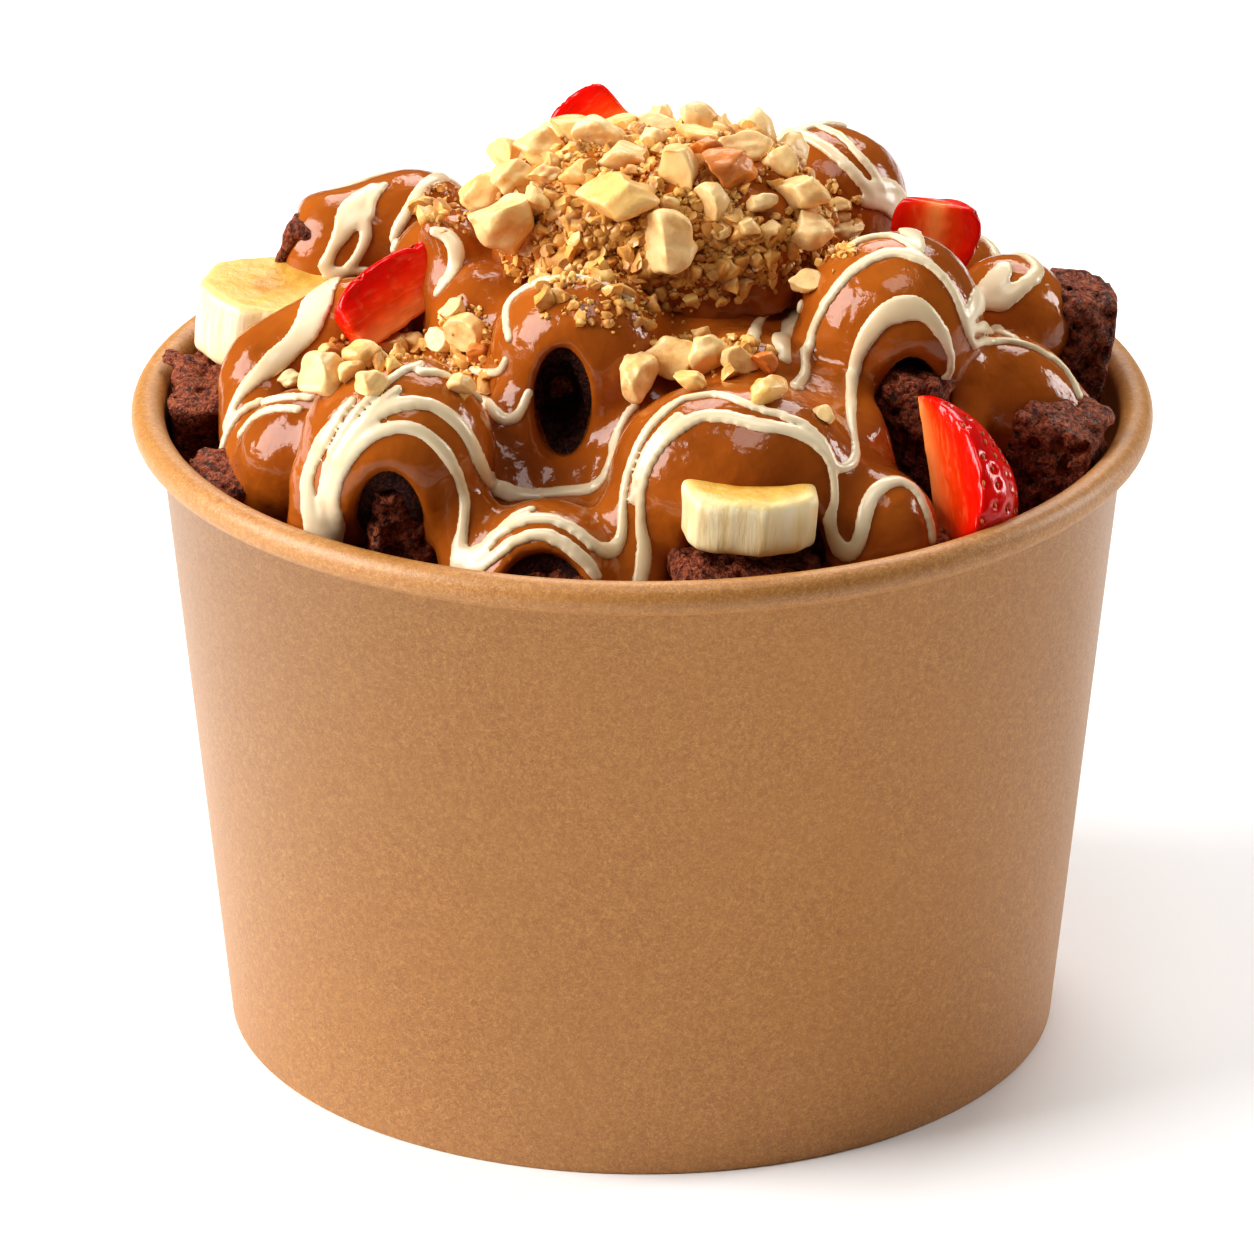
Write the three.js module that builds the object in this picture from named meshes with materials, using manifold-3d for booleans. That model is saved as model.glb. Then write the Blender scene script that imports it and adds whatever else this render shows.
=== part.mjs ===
// Bubble waffle bucket: a kraft paper tub heaped with torn pieces of chocolate bubble waffle. Milk
// chocolate sauce lies over the heap with thick white chocolate strands on it, and chopped nuts,
// strawberry pieces and banana slices are the toppings.
// Millimetres, +Z up, origin at the centre of the tub's foot. The front of the tub is -Y.
import * as THREE from "three";
import { mergeVertices } from "three/addons/utils/BufferGeometryUtils.js";
import Module from "manifold-3d";

const wasm = await Module();
wasm.setup();

// Tub
const RIM_R = 75; // outer radius of the rolled rim, a 150 mm tub
const TUB_H = 97.8; // foot to the top of the rim
const BASE_R = 61.7; // outside of the wall at the foot
const WALL_TOP_R = 71.15; // outside of the wall at the middle of the rolled rim
const WALL_T = 0.8;
const ROLL_R = 2.45; // radius of the rolled rim's section
const FOOT_H = 6; // height of the folded skirt, and of the recess under the base
const FOLD_T = 0.8; // the skirt is folded in once
const BASE_T = 0.8;
const TUB_SIDES = 40;
const ROLL_STEPS = 7;

// Heap
const GAP = 0.3; // between pieces that touch
const SETBACK = 0.5; // from the waffle's side to the tub's wall
const CORE_TOP = 116;
const CORE_SIDES = 24;
const GUTTER = 78; // where the waffle meets the tub's wall
const BLOCK_WORN = 0.8; // size of a block's worn top, as a share of the block's
const BLOCK_ROUGH = 0.09; // how far a block's corners are out of true, as a share
const STRAND_R = 1.5;
const STRAND_LIFT = 0.3; // from the sauce up to the middle of a strand
const STRAND_SIDES = 4;
const STRAND_STEP = 9.5; // length of strand to each step of its tube

const ROLL_Z = TUB_H - ROLL_R;
const ROLL_MID_R = RIM_R - ROLL_R;

const wallOuter = (z) => BASE_R + ((WALL_TOP_R - BASE_R) * z) / ROLL_Z;
const wallInner = (z) => wallOuter(z) - WALL_T;

// Sauce-covered bubbles of the waffle: centre x, y, z and radius out to the sauce.
const BUBBLES = {
  frontLeft: [-35, -42, 105, 14],
  frontMiddle: [-14, -53, 89, 12.5],
  frontRight: [9.5, -44, 101, 14.2],
  frontRightEnd: [18, -44, 100.5, 14],
  middle: [-9, -22, 112, 13],
  middleRight: [14, -25, 104, 12.5],
  rightArch: [36, -15, 114, 13.5],
  rightLeg: [28, -33, 100, 10],
  rightFoot: [32.5, -48, 94.5, 10],
  right: [52, -13, 100.5, 10.5],
  rightEnd: [58, -14, 97.5, 8.5],
  rightBack: [54, 6, 106.5, 9.5],
  rightMiddle: [43, 17, 98, 9.5],
  leftFront: [-48.5, -27, 98, 10],
  left: [-53, -5, 103, 7.5],
  leftRidge: [-42, -2, 109, 8],
  leftMiddle: [-22, -6, 110, 9.5],
  leftShoulder: [-27, 7, 112, 11],
  topBack: [-5, 28, 113, 12],
  backRight: [27, 35, 113, 13],
  backLeft: [-34, 30, 110, 10.5],
  backLeftEnd: [-45, 28, 108.5, 10],
  rearMiddle: [0, 46, 103, 13.5],
  rearLeft: [-23, 50, 98, 12],
  rearRight: [22, 54, 97, 11.5],
  rearRightSide: [46, 34, 98, 11],
};

// Hollows where a bubble is torn open: centre, half sizes and lean in degrees about X.
const OPENINGS = {
  frontLeft: { at: [-36, -57, 94], half: [6.2, 10.6, 13.6], lean: 0 },
  frontMiddle: { at: [-14, -64, 91], half: [6.6, 7.6, 7], lean: 0 },
  frontRight: { at: [16.5, -60, 94.5], half: [11, 10.6, 11], lean: 0 },
  middle: { at: [-11.4, -32, 109], half: [4.1, 10.6, 8], lean: -15 },
  rightArch: { at: [38.5, -28, 99], half: [5.8, 10.6, 14.6], lean: -10 },
  backLeft: { at: [-63, 28, 117], half: [11.6, 13.6, 16.6], lean: 0 },
};

// Torn blocks of bare waffle that show between the sauce: middle of the top x, y and z, half sizes,
// and turns in degrees about X, Y and Z
const BLOCKS = {
  left: { top: [-64, 3, 99.5], half: [6, 8], turn: [10, -4, 8] },
  leftLow: { top: [-58.5, -25.5, 97.5], half: [6.5, 6.5], turn: [6, -6, 30] },
  frontLeft: { top: [-33.5, -48.5, 105.5], half: [6, 5], turn: [8, 0, 15] },
  frontMiddle: { top: [-13, -58, 95], half: [6, 5], turn: [6, 0, -10] },
  frontRight: { top: [14.5, -56, 96], half: [10.5, 7], turn: [4, 3, 5] },
  middle: { top: [-8, -20, 117], half: [6.5, 5], turn: [0, 0, 0] },
  rightArch: { top: [39, -24, 112], half: [5.5, 5], turn: [0, 0, -20] },
  rightFoot: { top: [38, -51, 97], half: [5.5, 5.5], turn: [5, 5, 20] },
  right: { top: [61.5, -21, 104.5], half: [6.5, 6], turn: [6, 16, -14] },
  rightBack: { top: [65, 9, 112], half: [4.5, 7], turn: [0, 10, 12] },
  backRight: { top: [36, 33, 118], half: [5.5, 5], turn: [0, 10, 30] },
  backLeft: { top: [-49.6, 27, 116.5], half: [2.4, 6.5], turn: [0, 20, -10] },
  rearRight: { top: [36, 50, 101], half: [8, 7], turn: [-6, 6, 35] },
  rearMiddle: { top: [8, 61, 100], half: [8, 6], turn: [-8, 0, -5] },
  rearLeft: { top: [-40, 47, 101], half: [8, 7], turn: [-6, -6, 40] },
};

// Strands of white chocolate. Those of the front are drawn as they look from VIEW, across and up
// on the upright plane through the tub's axis; those of the rear as they look from above, x and y.
const VIEW = { target: [-2.2, 0, 60], tilt: 23.2, distance: 1392 };
const FRONT_STRANDS = [
  [
    [-40.5, 30.9], [-33.1, 33], [-27.3, 28.8], [-23.7, 22.1],
    [-18.4, 20.3], [-9.6, 20.6], [-5.5, 23.9], [-3, 30.3],
  ],
  [[-45.9, 12.9], [-45.3, 23.3], [-41.9, 26.9], [-34.6, 29.5], [-28.2, 24.5], [-26.7, 16.2], [-27.6, 11.9]],
  [[-25.8, 10.4], [-20.5, 14.7], [-16.9, 16.2], [-10.2, 15], [-4.6, 11]],
  [[-3.1, 15.1], [-1.2, 24.9], [5.2, 33.1], [12.3, 34.4], [20.3, 31.8], [28.5, 23]],
  [[24.5, 36.8], [27.5, 48.7], [34.3, 54.9], [42.2, 54.2], [47.2, 46.3], [48.7, 42.6]],
  [[29.6, 23.9], [32.4, 29.2], [31.5, 37.9], [38.8, 48.1], [44.8, 43.3], [45.9, 36.1]],
  [[20.3, 73.7], [26, 73.3], [33, 65.6], [35, 63.8]],
  [[-43, 63.7], [-46.3, 56.6], [-47.6, 53.2]],
  [[-45.6, 52.5], [-49.1, 46.8], [-51.8, 38.3], [-59.2, 32.2], [-62.5, 28.4]],
  [[-20.5, 43.6], [-15.6, 50.8], [-5.8, 51.2], [1.8, 45.3]],
];
const REAR_STRANDS = [
  [[-34, 47], [-23, 46], [-9, 50], [2, 46], [15, 51], [28, 50]],
];

// Chopped nuts that lie apart from the mound: x, y and spread of each cluster, and how many pieces.
const NUT_CLUSTERS = [
  { at: [-46, -17], spread: 3.5, count: 3 },
  { at: [-36, -27], spread: 5, count: 4 },
  { at: [-25, -28], spread: 3.5, count: 2 },
  { at: [4, -34], spread: 4, count: 3 },
  { at: [15, -36], spread: 5, count: 5 },
  { at: [-14, 40], spread: 5, count: 2 },
];
const CLUSTER_NUT_R = [1.8, 3];

// Mound of chopped nuts on the top of the heap, flat underneath
const MOUND = { at: [3, 3, 116.5], half: [25, 19.5, 18.5], floor: 121 };
const MOUND_POWER = 2.6; // over 2 for a mound with steep sides and a broad top
const MOUND_NUTS = 34;
const MOUND_NUT_OUT = 1.03; // how far out the nuts sit, as a share of the mound's half sizes
const MOUND_NUT_R = [3.4, 5.4];

// Strawberry pieces, wedges cut lengthwise: the hulled end and the tip of the berry's axis, its
// radius, the wedge's angle in degrees, and the way that the middle of its skin faces
const STRAWBERRIES = {
  strawberry_front: {
    ends: [[42.3, -47.5, 92], [39.3, -32.5, 110]],
    radius: 12.3,
    wedge: 115,
    skin: [0.99, 0.08, 0.1],
  },
  strawberry_left: {
    ends: [[-40, -12, 108.5], [-17, 5.7, 118.4]],
    radius: 10.2,
    wedge: 90,
    skin: [-0.62, 0.74, 0.26],
  },
  strawberry_right: {
    ends: [[43.5, 16, 121], [42, 14, 107.5]],
    radius: 7,
    wedge: 170,
    skin: [0.25, 0.96, -0.15],
  },
  strawberry_top: {
    ends: [[-1.2, 15.2, 134.8], [-14, 10.6, 124]],
    radius: 9,
    wedge: 90,
    skin: [-0.49, 0.85, 0.19],
  },
  strawberry_rear_left: {
    ends: [[-38, 48, 99], [-21, 56, 101]],
    radius: 9.5,
    wedge: 110,
    skin: [-0.2, 0.5, 0.85],
  },
  strawberry_rear_right: {
    ends: [[30, 52, 98.5], [46, 43, 102]],
    radius: 9,
    wedge: 110,
    skin: [0.2, 0.5, 0.84],
  },
};
const BERRY_SIDES = 12;
// Radius of a berry as a share of its greatest, and place along the axis, from the hulled end
const BERRY_PROFILE = [
  [0, 0], [0.78, 0], [0.97, 0.2], [1, 0.36],
  [0.86, 0.62], [0.56, 0.85], [0.22, 0.98], [0, 1],
];

// Banana slices: middle, radius, thickness, how square their outline is (2 for round) and turns in
// degrees. A half slice has its cut side at +Y.
const BANANAS = {
  banana_left: { at: [-55, 13.5, 104], radius: 11.2, thick: 11, square: 2, half: false, turn: [2, 6, 0] },
  banana_front: { at: [14.7, -54.5, 102.3], radius: 10, thick: 8.5, square: 3, half: true, turn: [3, 3, 6] },
  banana_rear: { at: [3, 56, 106], radius: 11.2, thick: 9, square: 2, half: false, turn: [-38, 6, 0] },
};
const BANANA_SIDES = 18;
const BANANA_BEVEL = 0.8;

const MATERIALS = {
  kraft: new THREE.MeshStandardMaterial({ color: 0xc8915a, roughness: 0.85, metalness: 0 }),
  waffle: new THREE.MeshStandardMaterial({ color: 0x3a1a10, roughness: 0.8, metalness: 0 }),
  sauce: new THREE.MeshStandardMaterial({ color: 0x96531f, roughness: 0.2, metalness: 0 }),
  nuts: new THREE.MeshStandardMaterial({ color: 0xe3bd7c, roughness: 0.55, metalness: 0 }),
  strawberry: new THREE.MeshStandardMaterial({ color: 0xc81510, roughness: 0.25, metalness: 0 }),
  banana: new THREE.MeshStandardMaterial({ color: 0xf1dc9c, roughness: 0.5, metalness: 0 }),
};

const radians = THREE.MathUtils.degToRad;
const axisX = new THREE.Vector3(1, 0, 0);
const axisY = new THREE.Vector3(0, 1, 0);
const axisZ = new THREE.Vector3(0, 0, 1);

// Numbers from 0 to 1 that are the same on each run
function seeded(seed) {
  let state = seed;
  return () => {
    state = (state + 0x6d2b79f5) | 0;
    let t = Math.imul(state ^ (state >>> 15), 1 | state);
    t = (t + Math.imul(t ^ (t >>> 7), 61 | t)) ^ t;
    return ((t ^ (t >>> 14)) >>> 0) / 4294967296;
  };
}

// A closed geometry as a solid that can be joined and cut
function solid(geometry) {
  const flat = geometry.index ? geometry.toNonIndexed() : geometry;
  const bare = new THREE.BufferGeometry().setAttribute("position", flat.getAttribute("position"));
  const merged = mergeVertices(bare, 1e-4);
  const corners = merged.index.array;
  const kept = [];
  for (let i = 0; i < corners.length; i += 3) {
    const [a, b, c] = corners.slice(i, i + 3);
    if (a !== b && b !== c && c !== a) kept.push(a, b, c);
  }
  const build = (triangles) =>
    new wasm.Manifold(
      new wasm.Mesh({
        numProp: 3,
        vertProperties: merged.attributes.position.array,
        triVerts: new Uint32Array(triangles),
      }),
    );
  const made = build(kept);
  return made.volume() < 0 ? build(kept.reverse()) : made;
}

function geometryOf(made) {
  const { numProp, numVert, vertProperties, triVerts } = made.getMesh();
  const positions = new Float32Array(numVert * 3);
  for (let i = 0; i < numVert; i++) {
    positions.set(vertProperties.subarray(i * numProp, i * numProp + 3), i * 3);
  }
  const geometry = new THREE.BufferGeometry();
  geometry.setAttribute("position", new THREE.BufferAttribute(positions, 3));
  geometry.setIndex(new THREE.BufferAttribute(triVerts, 1));
  return geometry;
}

const union = (solids) => solids.reduce((sum, one) => sum.add(one));

// The largest body of a solid: cutting can leave loose scraps beside it
function largest(made) {
  return made.decompose().sort((a, b) => b.volume() - a.volume())[0];
}

// A profile of [radius, z] points turned about the Z axis
function turned(profile, sides) {
  const points = profile.map(([r, z]) => new THREE.Vector2(r, z));
  return new THREE.LatheGeometry(points, sides).rotateX(Math.PI / 2);
}

function placed(geometry, at, turn = [0, 0, 0]) {
  const angles = new THREE.Euler(...turn.map(radians), "ZYX");
  const place = new THREE.Matrix4().makeRotationFromEuler(angles).setPosition(...at);
  return geometry.clone().applyMatrix4(place);
}

function ball(at, half, detail, turn) {
  const geometry = new THREE.IcosahedronGeometry(1, detail).scale(...half);
  return solid(placed(geometry, at, turn));
}

// Tub wall with its rolled rim, and the skirt folded in round the foot
function tubWall() {
  const meetR = wallOuter(ROLL_Z - ROLL_R * 0.75);
  const start = -Math.acos((meetR - ROLL_MID_R) / ROLL_R);
  const roll = Array.from({ length: ROLL_STEPS + 1 }, (_, i) => {
    const angle = start + ((Math.PI - start) * i) / ROLL_STEPS;
    return [ROLL_MID_R + ROLL_R * Math.cos(angle), ROLL_Z + ROLL_R * Math.sin(angle)];
  });
  const foot = BASE_R - WALL_T - FOLD_T;
  return turned(
    [
      [BASE_R, 0],
      ...roll,
      [wallInner(ROLL_Z - ROLL_R), ROLL_Z - ROLL_R],
      [wallInner(FOOT_H - GAP), FOOT_H - GAP],
      [foot, FOOT_H - GAP],
      [foot, 0],
      [BASE_R, 0],
    ],
    TUB_SIDES,
  );
}

// Base disc, which lies on the skirt's fold
function tubBase() {
  const r = wallInner(FOOT_H) - GAP;
  return turned([[0, FOOT_H], [r, FOOT_H], [r, FOOT_H + BASE_T], [0, FOOT_H + BASE_T]], TUB_SIDES);
}

// The room for food: inside the tub, and over the rim
function room(clear) {
  const floor = FOOT_H + BASE_T + clear;
  const over = TUB_H + clear;
  const mouth = ROLL_MID_R - ROLL_R - clear;
  return solid(
    turned(
      [
        [0, floor],
        [wallInner(floor) - clear, floor],
        [mouth, ROLL_Z - ROLL_R],
        [mouth, over],
        [RIM_R - 1, over],
        [RIM_R - 1, 2 * TUB_H],
        [0, 2 * TUB_H],
      ],
      TUB_SIDES,
    ),
  );
}

// Bare heap of waffle under the bubbles, a dome that falls to a gutter along the tub's wall
function core(grow) {
  const floor = FOOT_H + BASE_T + GAP;
  const side = (z) => wallInner(z) - SETBACK;
  const dome = [[side(GUTTER), GUTTER], [58, 85], [44, 96.5], [30, 106], [16, 113.5], [0, CORE_TOP]];
  return solid(
    turned([[0, floor], [side(floor), floor], ...dome.map(([r, z]) => [r, z + grow])], CORE_SIDES),
  );
}

// Sauce between the bubbles: the core's dome again, thicker, and short of the tub's wall
function blanket(grow) {
  const dome = [[54, 86], [50, 94.6], [44, 99.2], [30, 108.7], [18, 116], [0, CORE_TOP + 4]];
  return solid(turned([[0, 80], ...dome.map(([r, z]) => [r, z + grow])], CORE_SIDES));
}

// The heap's sauce before it is cut: the blanket and the bubbles, grown by so much
function draped(grow) {
  const bubbles = Object.values(BUBBLES).map(([x, y, z, r]) => {
    const out = r + grow;
    return ball([x, y, z], [out, out, out], 1);
  });
  return union([blanket(grow), ...bubbles]);
}

// A torn block of waffle, which stands in the heap: a box with a worn top and rough corners
function tornBlock({ top, half, turn }, grow) {
  const geometry = new THREE.BoxGeometry(2, 2, 2, 1, 1, 2);
  const position = geometry.getAttribute("position");
  const tall = (top[2] - GUTTER) / 2;
  const sizes = [...half, tall];
  for (let i = 0; i < position.count; i++) {
    const [x, y, z] = [position.getX(i), position.getY(i), position.getZ(i)];
    const rough = 1 + BLOCK_ROUGH * Math.sin(9 * x + top[0]) * Math.sin(8 * y + top[1] + 2 * z);
    const worn = z > 0 ? BLOCK_WORN : 1;
    const height = z === 0 ? BLOCK_WORN : z;
    const [px, py, pz] = [x * worn, y * worn, height].map((t, k) => t * (sizes[k] * rough + grow));
    position.setXYZ(i, px, py, pz - tall);
  }
  return solid(placed(geometry, top, turn));
}

function opening({ at, half, lean }) {
  return ball(at, half, 1, [lean, 0, 0]);
}

// The bare waffle, grown by so much all over
function waffle(grow) {
  return union([core(grow), ...Object.values(BLOCKS).map((block) => tornBlock(block, grow))]);
}

// Points of a surface that rays meet: straight down at x, y, and along the view at a drawn point
function castOnto(surface) {
  const mesh = new THREE.Mesh(geometryOf(surface));
  const meet = (from, way) => {
    const [hit] = new THREE.Raycaster(from, way).intersectObject(mesh);
    return hit?.point.addScaledVector(hit.face.normal, STRAND_LIFT);
  };
  const tilt = radians(VIEW.tilt);
  const target = new THREE.Vector3(...VIEW.target);
  const up = new THREE.Vector3(0, Math.sin(tilt), Math.cos(tilt));
  const back = new THREE.Vector3(0, -Math.cos(tilt), Math.sin(tilt));
  const eye = target.clone().addScaledVector(back, VIEW.distance);
  return {
    above: (x, y) => meet(new THREE.Vector3(x, y, 2 * TUB_H), new THREE.Vector3(0, 0, -1)),
    front: (across, high) => {
      const drawn = target.clone().setX(across).addScaledVector(up, high);
      return meet(eye, drawn.sub(eye).normalize());
    },
  };
}

// One strand of white chocolate, a tube along drawn points that are cast onto the sauce
function strand(drawn, thickR, cast) {
  const plan = new THREE.CatmullRomCurve3(drawn.map(([x, y]) => new THREE.Vector3(x, y, 0)));
  const laid = plan
    .getSpacedPoints(Math.ceil(plan.getLength() / 2))
    .map((p) => cast(p.x, p.y))
    .filter(Boolean);
  const path = new THREE.CatmullRomCurve3(laid, false, "centripetal");
  const section = new THREE.Shape(
    Array.from({ length: STRAND_SIDES }, (_, i) => {
      const angle = (2 * Math.PI * i) / STRAND_SIDES;
      return new THREE.Vector2(thickR * Math.cos(angle), thickR * Math.sin(angle));
    }),
  );
  const steps = Math.ceil(path.getLength() / STRAND_STEP);
  return solid(new THREE.ExtrudeGeometry(section, { extrudePath: path, steps }));
}

function strands(thickR, cast) {
  return [
    ...FRONT_STRANDS.map((drawn) => strand(drawn, thickR, cast.front)),
    ...REAR_STRANDS.map((drawn) => strand(drawn, thickR, cast.above)),
  ];
}

// A chopped piece of nut, pressed a little into what lies under it
function nut(at, radius, random) {
  const half = [radius * (0.8 + 0.5 * random()), radius, radius * (0.6 + 0.3 * random())];
  return ball(at, half, 0, [360 * random(), 360 * random(), 360 * random()]);
}

function clusterNuts(cast) {
  const random = seeded(7);
  return NUT_CLUSTERS.flatMap(({ at, spread, count }) =>
    Array.from({ length: count }, (_, i) => {
      const angle = (2 * Math.PI * i) / count + random();
      const out = spread * Math.sqrt((i + 0.5) / count);
      const point = cast.above(at[0] + out * Math.cos(angle), at[1] + out * Math.sin(angle));
      const radius = THREE.MathUtils.lerp(...CLUSTER_NUT_R, random());
      return nut(point.toArray(), radius, random);
    }),
  );
}

// A way out from the mound's middle, stretched to reach the mound's surface
function moundReach(way) {
  const round = Math.hypot(way[0], way[1]);
  const size = (round ** MOUND_POWER + Math.abs(way[2]) ** MOUND_POWER) ** (1 / MOUND_POWER);
  return way.map((t) => t / size);
}

// Middle of the nut mound, which lies flat on the sauce
function moundCore(grow) {
  const geometry = new THREE.IcosahedronGeometry(1, 2);
  const position = geometry.getAttribute("position");
  for (let i = 0; i < position.count; i++) {
    const out = moundReach([position.getX(i), position.getY(i), position.getZ(i)]);
    position.setXYZ(i, ...out.map((t, k) => t * (MOUND.half[k] + grow)));
  }
  const reach = 4 * MOUND.half[0];
  const above = new THREE.BoxGeometry(reach, reach, reach).translate(0, 0, MOUND.floor - grow + reach / 2);
  return solid(placed(geometry, MOUND.at)).intersect(solid(above));
}

// Chopped nuts over the top of the mound, spread by the golden angle
function moundNuts() {
  const random = seeded(11);
  const golden = Math.PI * (3 - Math.sqrt(5));
  return Array.from({ length: MOUND_NUTS }, (_, i) => {
    const out = Math.sqrt((i + 0.5) / MOUND_NUTS);
    const angle = i * golden;
    const up = Math.sqrt(1 - 0.9 * out * out);
    const way = moundReach([out * Math.cos(angle), out * Math.sin(angle), up]);
    const at = way.map((t, k) => MOUND.at[k] + MOUND.half[k] * MOUND_NUT_OUT * t);
    return nut(at, THREE.MathUtils.lerp(...MOUND_NUT_R, random()), random);
  });
}

// A wedge of strawberry. It is made with the berry's axis along X, the tip at +X, the sharp edge of
// the wedge on the axis and the middle of the skin at +Z.
function strawberry({ ends, radius, wedge, skin }, grow) {
  const [from, to] = ends.map((end) => new THREE.Vector3(...end));
  const along = to.sub(from);
  const length = along.length() + 2 * grow;
  const berry = turned(
    BERRY_PROFILE.map(([r, t]) => [r * (radius + grow), (t - 0.5) * length]),
    BERRY_SIDES,
  ).rotateY(Math.PI / 2);
  const half = radians(wedge / 2);
  const reach = 4 * radius;
  const edge = -grow / Math.sin(half);
  const sector = new THREE.Shape([
    new THREE.Vector2(0, edge),
    new THREE.Vector2(reach * Math.sin(half), edge + reach * Math.cos(half)),
    new THREE.Vector2(0, 3 * reach),
    new THREE.Vector2(-reach * Math.sin(half), edge + reach * Math.cos(half)),
  ]);
  const cutter = new THREE.ExtrudeGeometry(sector, { depth: 2 * reach, bevelEnabled: false })
    .translate(0, 0, -reach)
    .applyMatrix4(new THREE.Matrix4().makeBasis(axisY, axisZ, axisX));
  const x = along.clone().normalize();
  const z = new THREE.Vector3(...skin).projectOnPlane(x).normalize();
  const y = z.clone().cross(x);
  const place = new THREE.Matrix4().makeBasis(x, y, z).setPosition(from.addScaledVector(along, 0.5));
  return solid(geometryOf(solid(berry).intersect(solid(cutter))).applyMatrix4(place));
}

// A slice of banana with soft edges, whole or cut in half
function banana({ at, radius, thick, square, half, turn }, grow) {
  const r = radius + grow;
  const h = thick / 2 + grow;
  const bevel = BANANA_BEVEL;
  const profile = [[0, -h], [r - bevel, -h], [r, bevel - h], [r, h - bevel], [r - bevel, h], [0, h]];
  const round = turned(profile, BANANA_SIDES);
  const position = round.getAttribute("position");
  for (let i = 0; i < position.count; i++) {
    const [x, y] = [position.getX(i), position.getY(i)];
    const size = (Math.abs(x) ** square + Math.abs(y) ** square) ** (1 / square);
    const out = size > 0 ? Math.hypot(x, y) / size : 1;
    position.setXY(i, x * out, y * out);
  }
  const disc = solid(round);
  const reach = 4 * radius;
  const front = new THREE.BoxGeometry(reach, reach, reach).translate(0, -reach / 2 + 2 + grow, 0);
  const slice = half ? disc.intersect(solid(front)) : disc;
  return solid(placed(geometryOf(slice), at, turn));
}

function fruits(grow) {
  return new Map([
    ...Object.entries(STRAWBERRIES).map(([name, sizes]) => [name, strawberry(sizes, grow)]),
    ...Object.entries(BANANAS).map(([name, sizes]) => [name, banana(sizes, grow)]),
  ]);
}

function bucket() {
  const group = new THREE.Group();
  const addGeometry = (name, geometry, material) => {
    const mesh = new THREE.Mesh(geometry, material);
    mesh.name = name;
    group.add(mesh);
  };
  const add = (name, made, material) => addGeometry(name, geometryOf(made), material);

  addGeometry("cup_wall", tubWall(), MATERIALS.kraft);
  addGeometry("cup_base", tubBase(), MATERIALS.kraft);

  const inTub = room(GAP);
  const pieces = fruits(0);
  const round = union([...fruits(GAP).values()]);
  add("waffle", largest(waffle(0).intersect(inTub).subtract(round)), MATERIALS.waffle);

  const outer = draped(0);
  const cast = castOnto(outer);
  const sauce = union([outer, ...strands(STRAND_R, cast), ...clusterNuts(cast)])
    .intersect(inTub)
    .subtract(union(Object.values(OPENINGS).map(opening)))
    .subtract(waffle(GAP))
    .subtract(moundCore(GAP))
    .subtract(round);
  add("sauce", largest(sauce), MATERIALS.sauce);

  const below = union([draped(GAP), ...strands(STRAND_R + 2 * GAP, cast)]);
  const mound = union([moundCore(0), union(moundNuts()).subtract(below)]);
  add("nuts", largest(mound.subtract(round)), MATERIALS.nuts);

  for (const [name, made] of pieces) {
    const kind = name.split("_")[0];
    add(name, largest(made.intersect(inTub)), MATERIALS[kind]);
  }
  return group;
}

export default bucket();
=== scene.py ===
"""Bubble waffle bucket: a kraft tub heaped with chocolate waffle, sauce, nuts and fruit.

Shapes are worked out in millimetres and turned to metres when a mesh is made. The food's
surfaces are zero surfaces of distance fields, negative inside, on grids of points. A name that
ends in STEP is the distance between the points of such a grid, and one that ends in EDGE or
BLEND is how widely two fields are rounded into each other.
"""

import math

import bmesh
import bpy
import numpy as np
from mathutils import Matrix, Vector

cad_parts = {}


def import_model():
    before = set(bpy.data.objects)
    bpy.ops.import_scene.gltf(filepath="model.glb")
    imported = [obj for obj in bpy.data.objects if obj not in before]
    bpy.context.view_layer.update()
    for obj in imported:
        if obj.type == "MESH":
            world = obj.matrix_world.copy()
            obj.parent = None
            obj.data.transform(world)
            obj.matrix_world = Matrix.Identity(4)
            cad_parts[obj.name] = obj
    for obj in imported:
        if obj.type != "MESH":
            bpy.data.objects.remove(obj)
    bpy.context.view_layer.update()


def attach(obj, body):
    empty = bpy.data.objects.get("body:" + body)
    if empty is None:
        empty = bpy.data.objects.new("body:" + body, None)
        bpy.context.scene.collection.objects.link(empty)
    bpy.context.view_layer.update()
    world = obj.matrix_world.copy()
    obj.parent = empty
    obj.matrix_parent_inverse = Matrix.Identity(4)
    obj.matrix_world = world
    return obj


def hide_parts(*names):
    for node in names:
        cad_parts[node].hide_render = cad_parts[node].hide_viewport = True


MM = 0.001
SEED = 5

# Tub, as in the solids
RIM_R = 75.0
TUB_H = 97.8
BASE_R = 61.7
WALL_TOP_R = 71.15
WALL_T = 0.8
ROLL_R = 2.45
ROLL_Z = TUB_H - ROLL_R
ROLL_MID_R = RIM_R - ROLL_R
FOOT_H = 6.0
FOLD_T = 0.8
BASE_T = 0.8
TUB_SIDES = 320
ROLL_MEETS = 0.75  # how far below the roll's middle it meets the wall, as a share of the roll's radius
ROLL_STEPS = 22
TUB_GAP = 0.3
TUB_EDGE = 0.25
AXIS_R = 0.5  # a turned disc starts at this radius
FILLING_SIDES = 96
FILLING_CLEAR = 0.6

# Camera: the photograph's view
IMAGE_PX = 1254
FOCAL_PX = 9375.6
SENSOR_MM = 36.0
VIEW_DISTANCE = 1391.66
VIEW_TILT = math.radians(23.193)
VIEW_TARGET = np.array([-2.221, 0.0, 59.936])
VIEW_RIGHT = np.array([1.0, 0.0, 0.0])
VIEW_UP = np.array([0.0, math.sin(VIEW_TILT), math.cos(VIEW_TILT)])
VIEW_BACK = np.array([0.0, -math.cos(VIEW_TILT), math.sin(VIEW_TILT)])
EYE = VIEW_TARGET + VIEW_DISTANCE * VIEW_BACK
REAR_FLIP = np.array([-1.0, -1.0, 1.0])  # the same view from behind

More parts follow.
